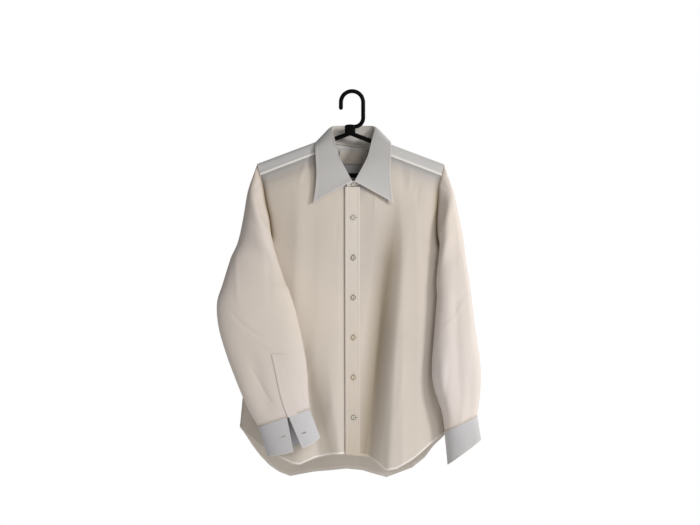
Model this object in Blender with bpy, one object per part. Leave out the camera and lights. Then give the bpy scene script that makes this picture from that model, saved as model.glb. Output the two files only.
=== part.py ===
"""A long-sleeve shirt with a long-point collar, hanging on a plastic hanger.

The shirt is built from the pieces that are cut and sewn for it. Every piece is a thin wall
laid on a smooth surface, and neighbours share that surface, so their seams follow each other.
Metres, +Z up. The front faces -Y and +X is on the viewer's right, which is the wearer's left.
The origin is the top of the space inside the hook, where the hanger hangs.
"""

import math

import bpy
import numpy as np

MM = 0.001

# Cloth and seams
CLOTH = 1.5 * MM
DOUBLE_CLOTH = 1.8 * MM
SEAM_GAP = 0.3 * MM
EDGE_EASE = 0.8 * MM  # half the room left between a collar or sleeve and the edge it is sewn to
STEP = 1e-4  # share of a surface's length that its slopes are measured over

# Hanger
ROD = 9.0 * MM
HOOK_RADIUS = 25.0 * MM  # middle of the rod
HOOK_LEFT_DROP = 20.0 * MM
HOOK_RIGHT_DROP = 40.0 * MM
NECK_BEND = 15.0 * MM
ROD_SIDES = 10
HANGER_X = -4.5 * MM
NECK_BLOCK = (24.0 * MM, 14.0 * MM, 26.0 * MM)
NECK_BLOCK_Z = -83.0 * MM
NECK_CHAMFER = 4.0 * MM
ARM_TOP_Z = -90.0 * MM
ARM_SLOPE = 0.378
ARM_REACH = 201.0 * MM
ARM_ROD = 10.0 * MM
ARM_START = 0.8 * MM  # from the neck block to the middle of an arm's end
ARM_BEND = 10.0 * MM  # the arm starts to turn back this far inside its reach
BAR_Z = -185.0 * MM
BAR_END = 4.0 * MM  # straight end of an arm, where it meets the bottom bar

# Shoulders and body
SHOULDER_LIFT = 7.6 * MM  # from the middle of a hanger arm up to the middle of the cloth
SHOULDER_SOFTEN = 15.0 * MM
SHOULDER_TRIM = 2.0 * MM
ARM_ROUND = 7.2 * MM  # radius of the cloth where it wraps an arm
FRONT_FALL = 180.0 * MM  # length over which the cloth leaves the shoulder and gets its depth
BACK_FALL = 120.0 * MM
SIDE_POWER = 3.2
UNDERARM_Z = -382.0 * MM
ARMHOLE_OPEN = 0.82
ARMHOLE_TURN = 30.0 * MM
YOKE_FRONT_DROP = 27.0 * MM
YOKE_BACK_Z = -221.0 * MM
YOKE_NECK_STATION = 4.42  # where the yoke's front seam meets the neck seam
YOKE_NECK_SHARE = 0.42  # share of the yoke's columns that start on the neck seam
YOKE_SPREAD = 0.85  # power that spaces the columns out along the back seam
SLEEVE_HEAD_DROP = 1.5 * MM
ARMHOLE_EASE = 1.9 * MM  # the armhole stands this far outside the body's edge
FOLD_RISE = 0.6  # share of a fold's length over which it comes up

# Collar and placket
COLLAR_X = 3.0 * MM
PLACKET_X = 1.0 * MM
PLACKET_WIDTH = 33.0 * MM
PLACKET_GAP = 0.45 * MM
PLACKET_MARGIN = 2.0 * MM  # the edge under the placket lies inside it by this
LAP = 2.4 * MM
LAP_END = 50.0 * MM  # distance from its edge where the right front is back in the common surface
LAP_FADE = 20.0 * MM
BUTTON = 11.0 * MM
BUTTON_THICK = 2.4 * MM
FIRST_BUTTON_Z = -280.5 * MM
BUTTON_STEP = 89.4 * MM
BUTTONS = 6
COLLAR_BUTTON = 9.0 * MM
BUTTON_SIDES = 12
LABEL = (62.0 * MM, 30.0 * MM)
LABEL_THICK = 1.0 * MM
LABEL_Z = -143.0 * MM

# Sleeves and cuffs
SLEEVE_CLEARANCE = 4.0 * MM
SIDE_ROOM = 12.0 * MM
SLIT_TOP = 0.577  # share of the sleeve's front, from its outer edge, where the slit meets the cuff
HALF_SLIT_TOP = 0.006  # of a turn, at each side of the slit
HALF_SLIT_FOOT = 0.027
SLEEVE_COLUMNS = 24

# Body sections: height, left and right edge, depth of the front and of the back
BODY = dict(
    z=(-868, -756, -688, -576, -464, -410, -384, -362, -333, -295, -245, -194, -166),
    left=(-252, -252, -246, -238, -233, -229, -224, -203, -184, -184, -194, -203, -212),
    right=(221, 222, 222, 223, 223, 223, 220, 206, 194, 191, 193, 198, 206),
    front=(54, 54, 50, 47, 44, 43, 42, 42, 42, 42, 42, 42, 42),
    back=(60, 58, 54, 50, 46, 45, 44, 44, 44, 44, 44, 44, 44),
)

# Hem outlines, from the viewer's left side seam to the right one
FRONT_HEM = dict(
    x=(-252, -240, -204, -169, -133, -117, -83, -50, -17, 33, 54, 75, 99, 136, 180, 205, 224),
    z=(-750, -764, -794, -814, -831, -833, -818, -811, -809, -816, -828, -846, -842, -821, -784,
       -765, -750),
)
BACK_HEM = dict(
    x=(-252, -240, -226, -207, -186, -164, -140, -86, -12, 24, 78, 136, 164, 184, 206, 224),
    z=(-750, -765, -788, -811, -833, -848, -858, -848, -841, -845, -861, -838, -815, -791, -769,
       -750),
)

# Hanging folds of the front and the back: top and bottom point, half-width and height.
# A height below zero is a hollow.
FRONT_FOLDS = (
    (118, -240, 78, -860, 26, 9),
    (45, -330, 52, -800, 30, -9),
    (-78, -600, -40, -800, 24, -8),
    (-120, -560, -118, -850, 30, 6),
    (165, -560, 176, -790, 28, -7),
    (140, -200, 150, -420, 16, 4),
    (-118, -190, -128, -420, 16, 4),
    (-66, -260, -84, -560, 22, 3),
    (60, -270, 40, -420, 14, -3),
)
BACK_FOLDS = (
    (-95, -240, -120, -850, 30, 8),
    (-40, -240, -44, -850, 26, -6),
    (60, -240, 84, -855, 30, 8),
    (130, -300, 140, -800, 24, -6),
    (-160, -300, -176, -780, 24, -5),
    (10, -420, 16, -840, 20, 4),
)

# Collar stations from the back centre to the front: point on the neck seam (distance from the
# centre, drop from the shoulder line with front below zero), point on the fold, point on the edge
COLLAR = dict(
    seam_x=(0, 30, 52, 62, 59, 51, 36, 18, 1),
    seam_drop=(33, 24, 11, 0, -17, -50, -83, -112, -124),
    fold_x=(0, 30, 47, 48, 42, 33, 22.5, 10.5, 3),
    fold_y=(31, 30, 21, 2, -17, -29, -37, -42, -45),
    fold_z=(-73, -73, -75, -86, -107, -141, -163, -185, -199),
    edge_x=(0, 40, 70, 81, 84, 83, 81, 82, 85),
    edge_y=(45, 44, 28, 4, -24, -38, -45, -49, -51),
    edge_z=(-127, -126, -119, -109, -121, -150, -178, -212, -247),
)
FRONT_STATION = 8.0
NECK_SIDE_STATION = 3.2
COLLAR_CLEARANCE = 2.6 * MM
STAND_INSET = 5.0 * MM  # the stand's top edge lies inside the fall by this
STAND_LIFT = 1.4 * MM
STAND_TAB = 16.0 * MM  # overlap at the front, on the wearer's left end
STAND_LAP_RISE = 0.8  # stations over which that end comes forward
FALL_STRAIGHT = 3.0  # stations before the front over which the fall loses its turned-over shape
FALL_OUT = 0.3
FALL_DOWN = 0.35
FALL_TIP_LAP = 0.3  # share of the overlap's thickness that the points still stand out by

# Sleeve rings below the armhole, down to the cuff seam: outer edge x, y, z, inner edge x, y, z
# and half the depth between front and back
SLEEVE_RIGHT = (
    (-233, -4, -220, -213, -30, -384, 20),
    (-243, -16, -279, -188, -42, -394, 24),
    (-255, -30, -333, -165, -50, -391, 27),
    (-273, -46, -378, -153, -58, -412, 29),
    (-289, -60, -430, -141, -66, -443, 29),
    (-301, -68, -472, -129, -72, -479, 28),
    (-297, -74, -526, -117, -76, -526, 28),
    (-280, -79, -585, -105, -80, -585, 27),
    (-266, -83, -623, -100, -84, -626, 26),
    (-246, -87, -673, -98, -88, -668, 24),
    (-228, -90, -712, -96, -91, -692, 22),
    (-207, -93, -747, -95, -93, -709, 20),
)
CUFF_RIGHT = (-186, -96, -812, -72, -96, -770, 20)
SLEEVE_LEFT = (
    (227, -2, -220, 212, -30, -384, 22),
    (237, -8, -266, 203, -38, -394, 28),
    (249, -15, -324, 197, -44, -404, 33),
    (255, -21, -374, 192, -49, -426, 37),
    (263, -27, -425, 190, -52, -457, 39),
    (270, -31, -482, 187, -54, -497, 40),
    (277, -34, -539, 183, -56, -549, 41),
    (285, -37, -590, 179, -58, -600, 41),
    (288, -39, -630, 180, -59, -644, 39),
    (287, -41, -666, 190, -58, -682, 37),
    (284, -42, -697, 202, -56, -722, 34),
    (279, -43, -725, 208, -54, -760, 32),
)
CUFF_LEFT = (287, -44, -778, 215, -55, -832, 31)

# Folds along a sleeve: share of the turn round it, half-width of that share, rings between
# which the fold runs, and height. A height below zero is a hollow.
SLEEVE_RIGHT_FOLDS = (
    (0.13, 0.05, 1.0, 7.0, 5),
    (0.25, 0.04, 3.0, 9.0, -4),
    (0.36, 0.05, 2.0, 11.0, 4),
    (0.63, 0.06, 2.0, 10.0, -5),
    (0.80, 0.05, 4.0, 11.0, 4),
    (0.18, 0.04, 7.0, 12.0, -4),
)
SLEEVE_LEFT_FOLDS = (
    (0.12, 0.05, 1.0, 8.0, 5),
    (0.24, 0.04, 4.0, 11.5, -5),
    (0.34, 0.04, 7.0, 12.0, 4),
    (0.16, 0.03, 8.5, 12.0, -4),
    (0.64, 0.06, 2.0, 10.0, -5),
    (0.82, 0.05, 3.0, 11.0, 5),
)

# Sleeve placket: shares across the sleeve at its two edges, the first on the slit, and the ring
# at its square top
PLACKET_SHARES = (SLIT_TOP, 0.76)
PLACKET_TOP_RING = 8
RINGS_PER_ROW = 2

# Profile of a button: share of its radius and share of its thickness
BUTTON_PROFILE = (
    (0.0, 0.0), (0.86, 0.0), (1.0, 0.35), (0.94, 0.85), (0.8, 1.0), (0.62, 0.72), (0.0, 0.62),
)

# Grid lines of the pieces: start, end and number of cells of each stretch
FRONT_ACROSS = ((0, 0.22, 8), (0.22, 1, 8))
FRONT_DOWN = ((0, 0.17, 4), (0.17, 0.36, 8), (0.36, 1, 9))
BACK_ACROSS = ((-1, 1, 24),)
BACK_DOWN = ((0, 0.13, 2), (0.13, 0.32, 7), (0.32, 1, 8))
YOKE_AWAY = ((0, YOKE_NECK_SHARE, 8), (YOKE_NECK_SHARE, 1, 7))
YOKE_DOWN = ((0, 0.5, 9), (0.5, 1, 6))
COLLAR_ROUND = ((-FRONT_STATION, FRONT_STATION, 40),)
STAND_ROUND = COLLAR_ROUND + ((FRONT_STATION, FRONT_STATION + 1, 2),)
STAND_UP = ((0, 1, 3),)
FALL_OVER = ((0, 0.04, 1), (0.04, 0.12, 1), (0.12, 0.28, 1), (0.28, 1, 3))
PLACKET_ACROSS = ((0, 1, 3),)
PLACKET_DOWN = ((0, 1, 22),)
LABEL_ACROSS = ((0, 1, 6),)
LABEL_DOWN = ((0, 1, 3),)
CUFF_ROUND = ((0, 1, 24),)
CUFF_DOWN = ((0, 1, 3),)

# Colour, roughness and metallic value
COLOURS = dict(
    cloth=((0.54, 0.49, 0.42, 1), 0.85, 0.0),
    stiff_cloth=((0.52, 0.50, 0.47, 1), 0.8, 0.0),
    shell=((0.62, 0.58, 0.5, 1), 0.25, 0.0),
    label=((0.5, 0.46, 0.42, 1), 0.7, 0.0),
    plastic=((0.01, 0.01, 0.01, 1), 0.35, 0.0),
)


def clear_scene():
    for item in list(bpy.data.objects):
        bpy.data.objects.remove(item, do_unlink=True)


def material(name):
    found = bpy.data.materials.get(name)
    if found:
        return found
    made = bpy.data.materials.new(name)
    made.use_nodes = True
    shader = made.node_tree.nodes["Principled BSDF"]
    colour, roughness, metallic = COLOURS[name]
    shader.inputs["Base Color"].default_value = colour
    shader.inputs["Roughness"].default_value = roughness
    shader.inputs["Metallic"].default_value = metallic
    return made


def volume(points, faces):
    """Signed volume of a closed body, as the sum of its triangles' tetrahedra."""
    total = 0.0
    for face in faces:
        corner = points[face[0]]
        for second, third in zip(face[1:-1], face[2:]):
            total += float(np.dot(corner, np.cross(points[second], points[third])))
    return total / 6.0


def add_solid(name, points, faces, finish):
    """A closed body of these faces, turned so that they point out."""
    points = np.asarray(points, dtype=float)
    if volume(points, faces) < 0:
        faces = [tuple(reversed(face)) for face in faces]
    mesh = bpy.data.meshes.new(name)
    mesh.from_pydata(points.tolist(), [], faces)
    mesh.update()
    mesh.shade_smooth()
    mesh.set_sharp_from_angle(angle=math.radians(40))
    mesh.materials.append(material(finish))
    solid = bpy.data.objects.new(name, mesh)
    bpy.context.scene.collection.objects.link(solid)
    return solid


def smooth(stations, values, at):
    """A smooth curve through the values of a table, read at any places."""
    stations = np.asarray(stations, dtype=float)
    values = np.asarray(values, dtype=float)
    slopes = np.gradient(values, stations)
    at = np.asarray(at, dtype=float)
    held = np.clip(at, stations[0], stations[-1])
    row = np.clip(np.searchsorted(stations, held, side="right") - 1, 0, len(stations) - 2)
    width = stations[row + 1] - stations[row]
    t = (held - stations[row]) / width
    start, end = values[row], values[row + 1]
    result = (
        (2 * t**3 - 3 * t**2 + 1) * start
        + (t**3 - 2 * t**2 + t) * width * slopes[row]
        + (3 * t**2 - 2 * t**3) * end
        + (t**3 - t**2) * width * slopes[row + 1]
    )
    beyond = at - held
    return result + beyond * np.where(beyond < 0, slopes[0], slopes[-1])


def ease(t):
    """Rises smoothly from 0 to 1."""
    t = np.clip(t, 0, 1)
    return t * t * (3 - 2 * t)


def stretches(parts):
    """Grid lines for stretches that follow each other: start, end and number of cells."""
    lines = [np.linspace(start, end, cells + 1) for start, end, cells in parts]
    return np.unique(np.round(np.concatenate(lines), 9))


def unit(vectors):
    length = np.linalg.norm(vectors, axis=-1, keepdims=True)
    return vectors / np.maximum(length, 1e-12)


def sheet_points(surface, across, along, offset):
    """Points of a surface on a grid, moved by the offset along its normals."""
    a, b = np.meshgrid(across, along, indexing="ij")
    a_middle = 0.5 * (across[0] + across[-1])
    b_middle = 0.5 * (along[0] + along[-1])
    a_step = np.where(a > a_middle, -STEP, STEP)
    b_step = np.where(b > b_middle, -STEP, STEP)
    middle = surface(a, b)
    along_a = (surface(a + a_step, b) - middle) / a_step[..., None]
    along_b = (surface(a, b + b_step) - middle) / b_step[..., None]
    return middle + offset * unit(np.cross(along_a, along_b))


def add_wall(name, surface, across, along, thickness, finish, closed=False, offset=0.0):
    """A wall of even thickness on a surface, over a grid of its two measures.

    A closed wall joins its last column to its first.
    """
    outer = sheet_points(surface, across, along, offset + thickness / 2)
    inner = sheet_points(surface, across, along, offset - thickness / 2)
    columns, rows = len(across), len(along)
    points = np.concatenate([outer.reshape(-1, 3), inner.reshape(-1, 3)])
    far_side = columns * rows
    cells = [
        (i, j)
        for i in range(columns if closed else columns - 1)
        for j in range(rows - 1)
    ]
    faces = []
    edges = {}
    for i, j in cells:
        right = (i + 1) % columns
        ring = (i * rows + j, right * rows + j, right * rows + j + 1, i * rows + j + 1)
        for corners in ((ring[0], ring[1], ring[2]), (ring[0], ring[2], ring[3])):
            faces.append(corners)
            faces.append(tuple(far_side + k for k in reversed(corners)))
        for start, end in zip(ring, ring[1:] + ring[:1]):
            if (end, start) in edges:
                del edges[end, start]
            else:
                edges[start, end] = True
    for start, end in edges:
        faces.append((end, start, far_side + start, far_side + end))
    return add_solid(name, points, faces, finish)


def shoulder_z(x):
    """Height of the shoulder fold, which lies on the hanger's arms."""
    reach = np.sqrt((x - HANGER_X) ** 2 + SHOULDER_SOFTEN**2)
    return ARM_TOP_Z + SHOULDER_LIFT - ARM_SLOPE * (reach - SHOULDER_TRIM)


def body_edge(z, side):
    """Where the body ends sideways: its armhole, and below that its side seam."""
    return smooth(BODY["z"], BODY["left" if side < 0 else "right"], z / MM) * MM


def fold_lift(folds, x, z):
    """Height that the hanging folds add: a bell across each line, fading at its top."""
    lift = np.zeros_like(x)
    for top_x, top_z, foot_x, foot_z, width, height in folds:
        along = (z / MM - top_z) / (foot_z - top_z)
        line = top_x + (foot_x - top_x) * np.clip(along, 0, 1)
        lift = lift + height * MM * ease(along / FOLD_RISE) * np.exp(-(((x / MM - line) / width) ** 2))
    return lift


def quarter_round(distance, length):
    """Share of the full depth at a distance along a quarter of an ellipse."""
    run = np.clip(distance / length, 0, 1)
    return np.sqrt(np.maximum(1 - (1 - run) ** 2, 0))


def body_depth(x, z, face, side_room=0.0):
    """Distance of the front or back from the middle plane.

    The cloth wraps the hanger's arm, leaves the shoulder in a quarter of an ellipse, rounds
    away at the side and carries its folds.
    """
    front = face < 0
    drop = shoulder_z(x) - z
    leaving = quarter_round(drop, FRONT_FALL if front else BACK_FALL)
    open_share = ease((z - UNDERARM_Z) / ARMHOLE_TURN)
    on_arm = quarter_round(drop, ARM_ROUND) * ARM_ROUND * open_share
    edge = np.where(x < 0, -body_edge(z, -1), body_edge(z, 1)) + side_room * (1 - open_share)
    share = np.clip(np.abs(x) / edge, 0, 1)
    closing = 1 - (1 - open_share * (1 - ARMHOLE_OPEN)) * share**SIDE_POWER
    rounding = np.sqrt(np.maximum(closing, 0))
    deep = smooth(BODY["z"], BODY["front" if front else "back"], z / MM) * MM
    lift = fold_lift(FRONT_FOLDS if front else BACK_FOLDS, x, z) * rounding
    return np.hypot(leaving * (deep * rounding + lift), on_arm)


def body_point(x, z, face, deeper=0.0):
    y = face * (body_depth(x, z, face) - deeper)
    return np.stack([x, y, z], axis=-1)


def settle_height(place, x_of, height_of, first_z):
    """Finds the height of each point when its height and its distance depend on each other."""
    z = np.full_like(place, first_z)
    for _ in range(6):
        z = height_of(x_of(z))
    return x_of(z), z


def neck_drop(x):
    """Drop of the front neck seam below the shoulder line, at a distance from the middle."""
    place, root = seam_place(np.linspace(FRONT_STATION, NECK_SIDE_STATION, 81))
    return np.interp(np.abs(x - COLLAR_X), place - COLLAR_X, root * root * MM, right=0.0)


def front_top(x):
    below_yoke = np.maximum(YOKE_FRONT_DROP, neck_drop(x))
    neck_ease = np.where(neck_drop(x) > YOKE_FRONT_DROP, EDGE_EASE, SEAM_GAP / 2)
    return shoulder_z(x) - below_yoke - neck_ease


def hem_z(x, hem):
    return np.interp(x / MM, hem["x"], hem["z"]) * MM


def front_surface(side, inner_x, under):
    """The front from its closing edge to the side, from the neck and yoke seam to the hem."""

    def surface(across, along):
        turn = np.sin(across * math.pi / 2)

        def x_of(z):
            return inner_x + (body_edge(z, side) - inner_x) * turn

        def height_of(x):
            top = front_top(x)
            return top + (hem_z(x, FRONT_HEM) - top) * along

        x, z = settle_height(turn, x_of, height_of, UNDERARM_Z)
        lap = under * LAP * ease((LAP_END - (x - inner_x) * side) / LAP_FADE)
        point = body_point(x, z, -1, lap)
        point[..., 1] -= SEAM_GAP / 2
        return point

    return surface


def back_surface(across, along):
    """The back from side to side, from the yoke seam to the hem."""
    turn = np.sin(across * math.pi / 2)

    def x_of(z):
        return np.where(turn < 0, -body_edge(z, -1), body_edge(z, 1)) * turn

    def height_of(x):
        top = YOKE_BACK_Z - SEAM_GAP / 2
        return top + (hem_z(x, BACK_HEM) - top) * along

    x, z = settle_height(turn, x_of, height_of, UNDERARM_Z)
    point = body_point(x, z, 1)
    point[..., 1] += SEAM_GAP / 2
    return point


def signed_root(drop):
    return np.sign(drop) * np.sqrt(np.abs(drop))


def collar_value(column, station, odd=False):
    """A column of the collar table at a station, mirrored to the other half of the neck."""
    values = np.array(COLLAR[column], dtype=float)
    if column == "seam_drop":
        values = signed_root(values)
    count = len(values)
    mirrored = np.concatenate([values[:0:-1] * (-1 if odd else 1), values])
    return smooth(np.arange(1 - count, count), mirrored, station)


def seam_place(station):
    """Distance from the middle and signed root of the drop, for a point on the neck seam."""
    return COLLAR_X + collar_value("seam_x", station, odd=True) * MM, collar_value("seam_drop", station)


def rooted_point(x, root, lift=0.0):
    """The body's point at a signed root of the drop, in millimetres, front below zero."""
    drop = root * root * MM
    z = shoulder_z(x) - drop
    front = body_point(x, z, -1)
    back = body_point(x, z, 1)
    point = np.where((root < 0)[..., None], front, back)
    point[..., 2] += lift
    return point


def yoke_surface(across, along):
    """The yoke from the neck and front seams, over the shoulders, down to the back seam."""
    side = np.where(across < 0, -1.0, 1.0)
    away = np.abs(across)
    neck_x, neck_root = seam_place(side * np.clip(away / YOKE_NECK_SHARE, 0, 1) * YOKE_NECK_STATION)
    seam_share = np.clip((away - YOKE_NECK_SHARE) / (1 - YOKE_NECK_SHARE), 0, 1)
    front_root = -math.sqrt(YOKE_FRONT_DROP / MM)
    on_neck = away < YOKE_NECK_SHARE
    start_root = np.where(on_neck, neck_root, front_root)
    outward = np.where(on_neck, side * EDGE_EASE, 0.0)
    end_share = away**YOKE_SPREAD

    def x_of(z):
        edge = np.where(side < 0, -body_edge(z, -1), body_edge(z, 1))
        first = neck_x + outward + (side * edge - neck_x - outward) * seam_share
        return first + (side * edge * end_share - first) * ease(along)

    def root_of(x):
        end_root = signed_root((shoulder_z(x) - YOKE_BACK_Z) / MM)
        return start_root + (end_root - start_root) * along

    x = x_of(np.full_like(away, ARM_TOP_Z))
    for _ in range(6):
        root = root_of(x)
        x = x_of(shoulder_z(x) - root * root * MM)
    return rooted_point(x, root_of(x))


def fold_point(station):
    x = COLLAR_X + collar_value("fold_x", station, odd=True) * MM
    y = collar_value("fold_y", station) * MM
    z = collar_value("fold_z", station) * MM
    return np.stack([x, y, z], axis=-1)


def stand_surface(station, along):
    """The stand from the neck seam up to the fold, and on into a tab that laps over its end."""
    lapped = np.maximum(station - FRONT_STATION, 0)
    station = np.minimum(station, FRONT_STATION)
    x, root = seam_place(station)
    base = rooted_point(x, root, STAND_LIFT)
    top = fold_point(station)
    top = top - STAND_INSET * unit((top - np.array([COLLAR_X, 0, 0])) * np.array([1, 1, 0]))
    top[..., 2] -= SEAM_GAP
    point = base + (top - base) * along[..., None]
    over = ease((station - FRONT_STATION) / STAND_LAP_RISE + 1)
    point[..., 0] -= lapped * STAND_TAB
    point[..., 1] -= over * LAP
    return point


def fall_surface(station, along):
    """The fall from the fold over to its free edge: it turns over first and then drops."""
    start = fold_point(station)
    edge = np.stack(
        [
            COLLAR_X + collar_value("edge_x", station, odd=True) * MM,
            collar_value("edge_y", station) * MM,
            collar_value("edge_z", station) * MM,
        ],
        axis=-1,
    )
    reach = edge - start
    turned = ease((FRONT_STATION - np.abs(station)) / FALL_STRAIGHT)
    sideways = (along ** (1 - FALL_OUT * turned))[..., None] * reach * np.array([1, 1, 0])
    downwards = (along ** (1 + FALL_DOWN * turned))[..., None] * reach * np.array([0, 0, 1])
    point = start + sideways + downwards
    over = ease((np.abs(station) - FRONT_STATION) / STAND_LAP_RISE + 1)
    point[..., 1] -= over * (LAP + SEAM_GAP) * (1 - (1 - FALL_TIP_LAP) * along)
    return clear_of_body(point, COLLAR_CLEARANCE)


def clear_of_body(point, clearance, side_room=0.0):
    """Moves points that would lie inside the body out in front of it, or behind if they are there.

    Side room rounds the path past the side of the body at that distance.
    """
    x, y, z = point[..., 0], point[..., 1], point[..., 2]
    edge = np.where(x < 0, -body_edge(z, -1), body_edge(z, 1)) + side_room
    in_front = (y < 0) | (z < UNDERARM_Z)
    front = -body_depth(x, z, -1, side_room) - clearance
    back = body_depth(x, z, 1, side_room) + clearance
    moved = np.where(in_front, np.minimum(y, front), np.maximum(y, back))
    near = (np.abs(x) < edge) & (z < shoulder_z(x) + clearance)
    result = point.copy()
    result[..., 1] = np.where(near, moved, y)
    return result


def armhole_point(turn, side):
    """The armhole: down the front for the first half turn, up the back for the second."""
    down = 0.5 * (1 - np.cos(turn * 2 * math.pi))
    shoulder_end = body_edge(BODY["z"][-1] * MM, side)
    top_z = shoulder_z(shoulder_end) - SLEEVE_HEAD_DROP
    z = top_z + (UNDERARM_Z - top_z) * down
    x = body_edge(z, side)
    slope = (body_edge(z - STEP, side) - body_edge(z + STEP, side)) / (2 * STEP)
    away = unit(np.stack([side * np.ones_like(z), side * slope], axis=-1))
    depth = np.where(turn % 1.0 < 0.5, -body_depth(x, z, -1), body_depth(x, z, 1))
    return np.stack(
        [x + away[..., 0] * ARMHOLE_EASE, depth, z + away[..., 1] * ARMHOLE_EASE], axis=-1
    )


def ring_point(turn, row):
    """A flattened ring: outer edge at turn 0, front at a quarter, inner edge at a half."""
    values = np.array(row) * MM
    outer, inner, half_depth = values[:3], values[3:6], values[6]
    swing = np.cos(turn * 2 * math.pi)[..., None]
    point = (outer + inner) / 2 + (outer - inner) / 2 * swing
    point[..., 1] -= half_depth * np.sin(turn * 2 * math.pi)
    return point


def along_rings(rings, place):
    """A smooth curve through each point of the rings, read at a place between them."""
    rings = np.stack(rings)
    last = len(rings) - 1
    row = np.clip(np.floor(place).astype(int), 0, last - 1)
    t = (place - row)[..., None]
    slopes = np.gradient(rings, axis=0)

    def pick(values, index):
        return np.take_along_axis(values, index[None, ..., None], axis=0)[0]

    return (
        (2 * t**3 - 3 * t**2 + 1) * pick(rings, row)
        + (t**3 - 2 * t**2 + t) * pick(slopes, row)
        + (3 * t**2 - 2 * t**3) * pick(rings, row + 1)
        + (t**3 - t**2) * pick(slopes, row + 1)
    )


def sleeve_surface(side, rows, folds):
    """The sleeve round and down: a loft through the armhole and the rings, with its folds."""

    round_ring = np.arange(SLEEVE_COLUMNS) / SLEEVE_COLUMNS
    centres = [armhole_point(round_ring, side).mean(axis=0)]
    centres += [ring_point(round_ring, row).mean(axis=0) for row in rows]

    def surface(turn, place):
        rings = [armhole_point(turn, side)] + [ring_point(turn, row) for row in rows]
        point = along_rings(rings, place)
        middle = along_rings([centre + np.zeros_like(rings[0]) for centre in centres], place)
        outward = unit(point - middle)
        for at, width, first, last, height in folds:
            run = (place - first) / (last - first)
            near = np.exp(-(((turn % 1.0 - at) / width) ** 2))
            fade = ease(run * 3) * ease((1 - run) * 3)
            point = point + outward * (height * MM * near * fade)[..., None]
        lower = ease(place * 2)
        cleared = clear_of_body(point, SLEEVE_CLEARANCE, SIDE_ROOM)
        return point + (cleared - point) * lower[..., None]

    return surface


def cuff_surface(seam_row, foot_row, slit):
    """The cuff from its seam down to its edge, round from one side of the slit to the other.

    The slit widens on its way down.
    """

    def surface(across, along):
        half_slit = HALF_SLIT_TOP + (HALF_SLIT_FOOT - HALF_SLIT_TOP) * along
        turn = slit + half_slit + (1 - 2 * half_slit) * across
        top = ring_point(turn, seam_row)
        foot = ring_point(turn, foot_row)
        drop = unit(foot - top) * 2 * SEAM_GAP
        return top + drop + (foot - top - drop) * along[..., None]

    return surface


def turn_of_share(share, front=True):
    """The turn at a share of the way across the sleeve from its outer to its inner edge."""
    half = math.acos(1 - 2 * share) / (2 * math.pi)
    return half if front else 1 - half


def add_rod(name, path, diameter):
    """A round rod with flat ends carried along a path in the plane y = 0."""
    path = np.asarray(path, dtype=float)
    ahead = unit(np.gradient(path, axis=0))
    aside = np.stack([ahead[:, 2], np.zeros(len(path)), -ahead[:, 0]], axis=-1)
    forward = np.array([0.0, 1.0, 0.0])
    sides = ROD_SIDES
    angles = np.arange(sides) * 2 * math.pi / sides
    rings = path[:, None] + diameter / 2 * (
        np.cos(angles)[None, :, None] * aside[:, None] + np.sin(angles)[None, :, None] * forward
    )
    points = rings.reshape(-1, 3)
    faces = [
        (i * sides + k, i * sides + (k + 1) % sides, (i + 1) * sides + (k + 1) % sides,
         (i + 1) * sides + k)
        for i in range(len(path) - 1)
        for k in range(sides)
    ]
    faces.append(tuple(reversed(range(sides))))
    faces.append(tuple((len(path) - 1) * sides + k for k in range(sides)))
    add_solid(name, points, faces, "plastic")


def arc(centre_x, centre_z, radius, start, end, count):
    angles = np.radians(np.linspace(start, end, count))
    return [(centre_x + radius * math.cos(a), 0.0, centre_z + radius * math.sin(a)) for a in angles]


def add_hook():
    """The hook: a short leg, half a turn over the top, a long leg and a bend into the neck."""
    centre_z = -(HOOK_RADIUS - ROD / 2)
    left, right = -HOOK_RADIUS, HOOK_RADIUS
    path = [(left, 0.0, centre_z - HOOK_LEFT_DROP), (left, 0.0, centre_z - HOOK_LEFT_DROP / 2)]
    path += arc(0.0, centre_z, HOOK_RADIUS, 180, 0, 13)
    path += [(right, 0.0, centre_z - HOOK_RIGHT_DROP / 2)]
    path += arc(right - NECK_BEND, centre_z - HOOK_RIGHT_DROP, NECK_BEND, 0, -90, 7)
    neck_side = HANGER_X + NECK_BLOCK[0] / 2
    path += [(neck_side + SEAM_GAP, 0.0, centre_z - HOOK_RIGHT_DROP - NECK_BEND)]
    add_rod("hanger_hook", path, ROD)


def add_hanger():
    add_hook()
    width, depth, height = NECK_BLOCK
    x0, x1 = HANGER_X - width / 2, HANGER_X + width / 2
    top, foot = NECK_BLOCK_Z + height / 2, NECK_BLOCK_Z - height / 2
    outline = [(x0, foot), (x1, foot), (x1, top), (x0 + NECK_CHAMFER, top), (x0, top - NECK_CHAMFER)]
    count = len(outline)
    points = [(x, y, z) for y in (-depth / 2, depth / 2) for x, z in outline]
    faces = [(k, (k + 1) % count, count + (k + 1) % count, count + k) for k in range(count)]
    faces += [tuple(reversed(range(count))), tuple(range(count, 2 * count))]
    add_solid("hanger_neck", points, faces, "plastic")

    for side, name in ((-1, "hanger_arm_right"), (1, "hanger_arm_left")):
        start = width / 2 + ARM_START
        turn_x = ARM_REACH - ARM_BEND
        end_top = ARM_TOP_Z - ARM_SLOPE * turn_x
        end_radius = (end_top - BAR_Z) / 2
        straight = [(x, ARM_TOP_Z - ARM_SLOPE * x) for x in (start, turn_x / 2)]
        bend = [
            (turn_x + end_radius * math.sin(a), BAR_Z + end_radius + end_radius * math.cos(a))
            for a in np.radians(np.linspace(-8, 180, 10))
        ]
        end = [(turn_x - BAR_END, BAR_Z)]
        path = [(HANGER_X + side * x, 0.0, z) for x, z in straight + bend + end]
        add_rod(name, path, ARM_ROD)
    half = ARM_REACH - ARM_BEND - BAR_END - SEAM_GAP
    bar = [(HANGER_X + x, 0.0, BAR_Z) for x in (-half, 0.0, half)]
    add_rod("hanger_bar", bar, ARM_ROD)


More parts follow.
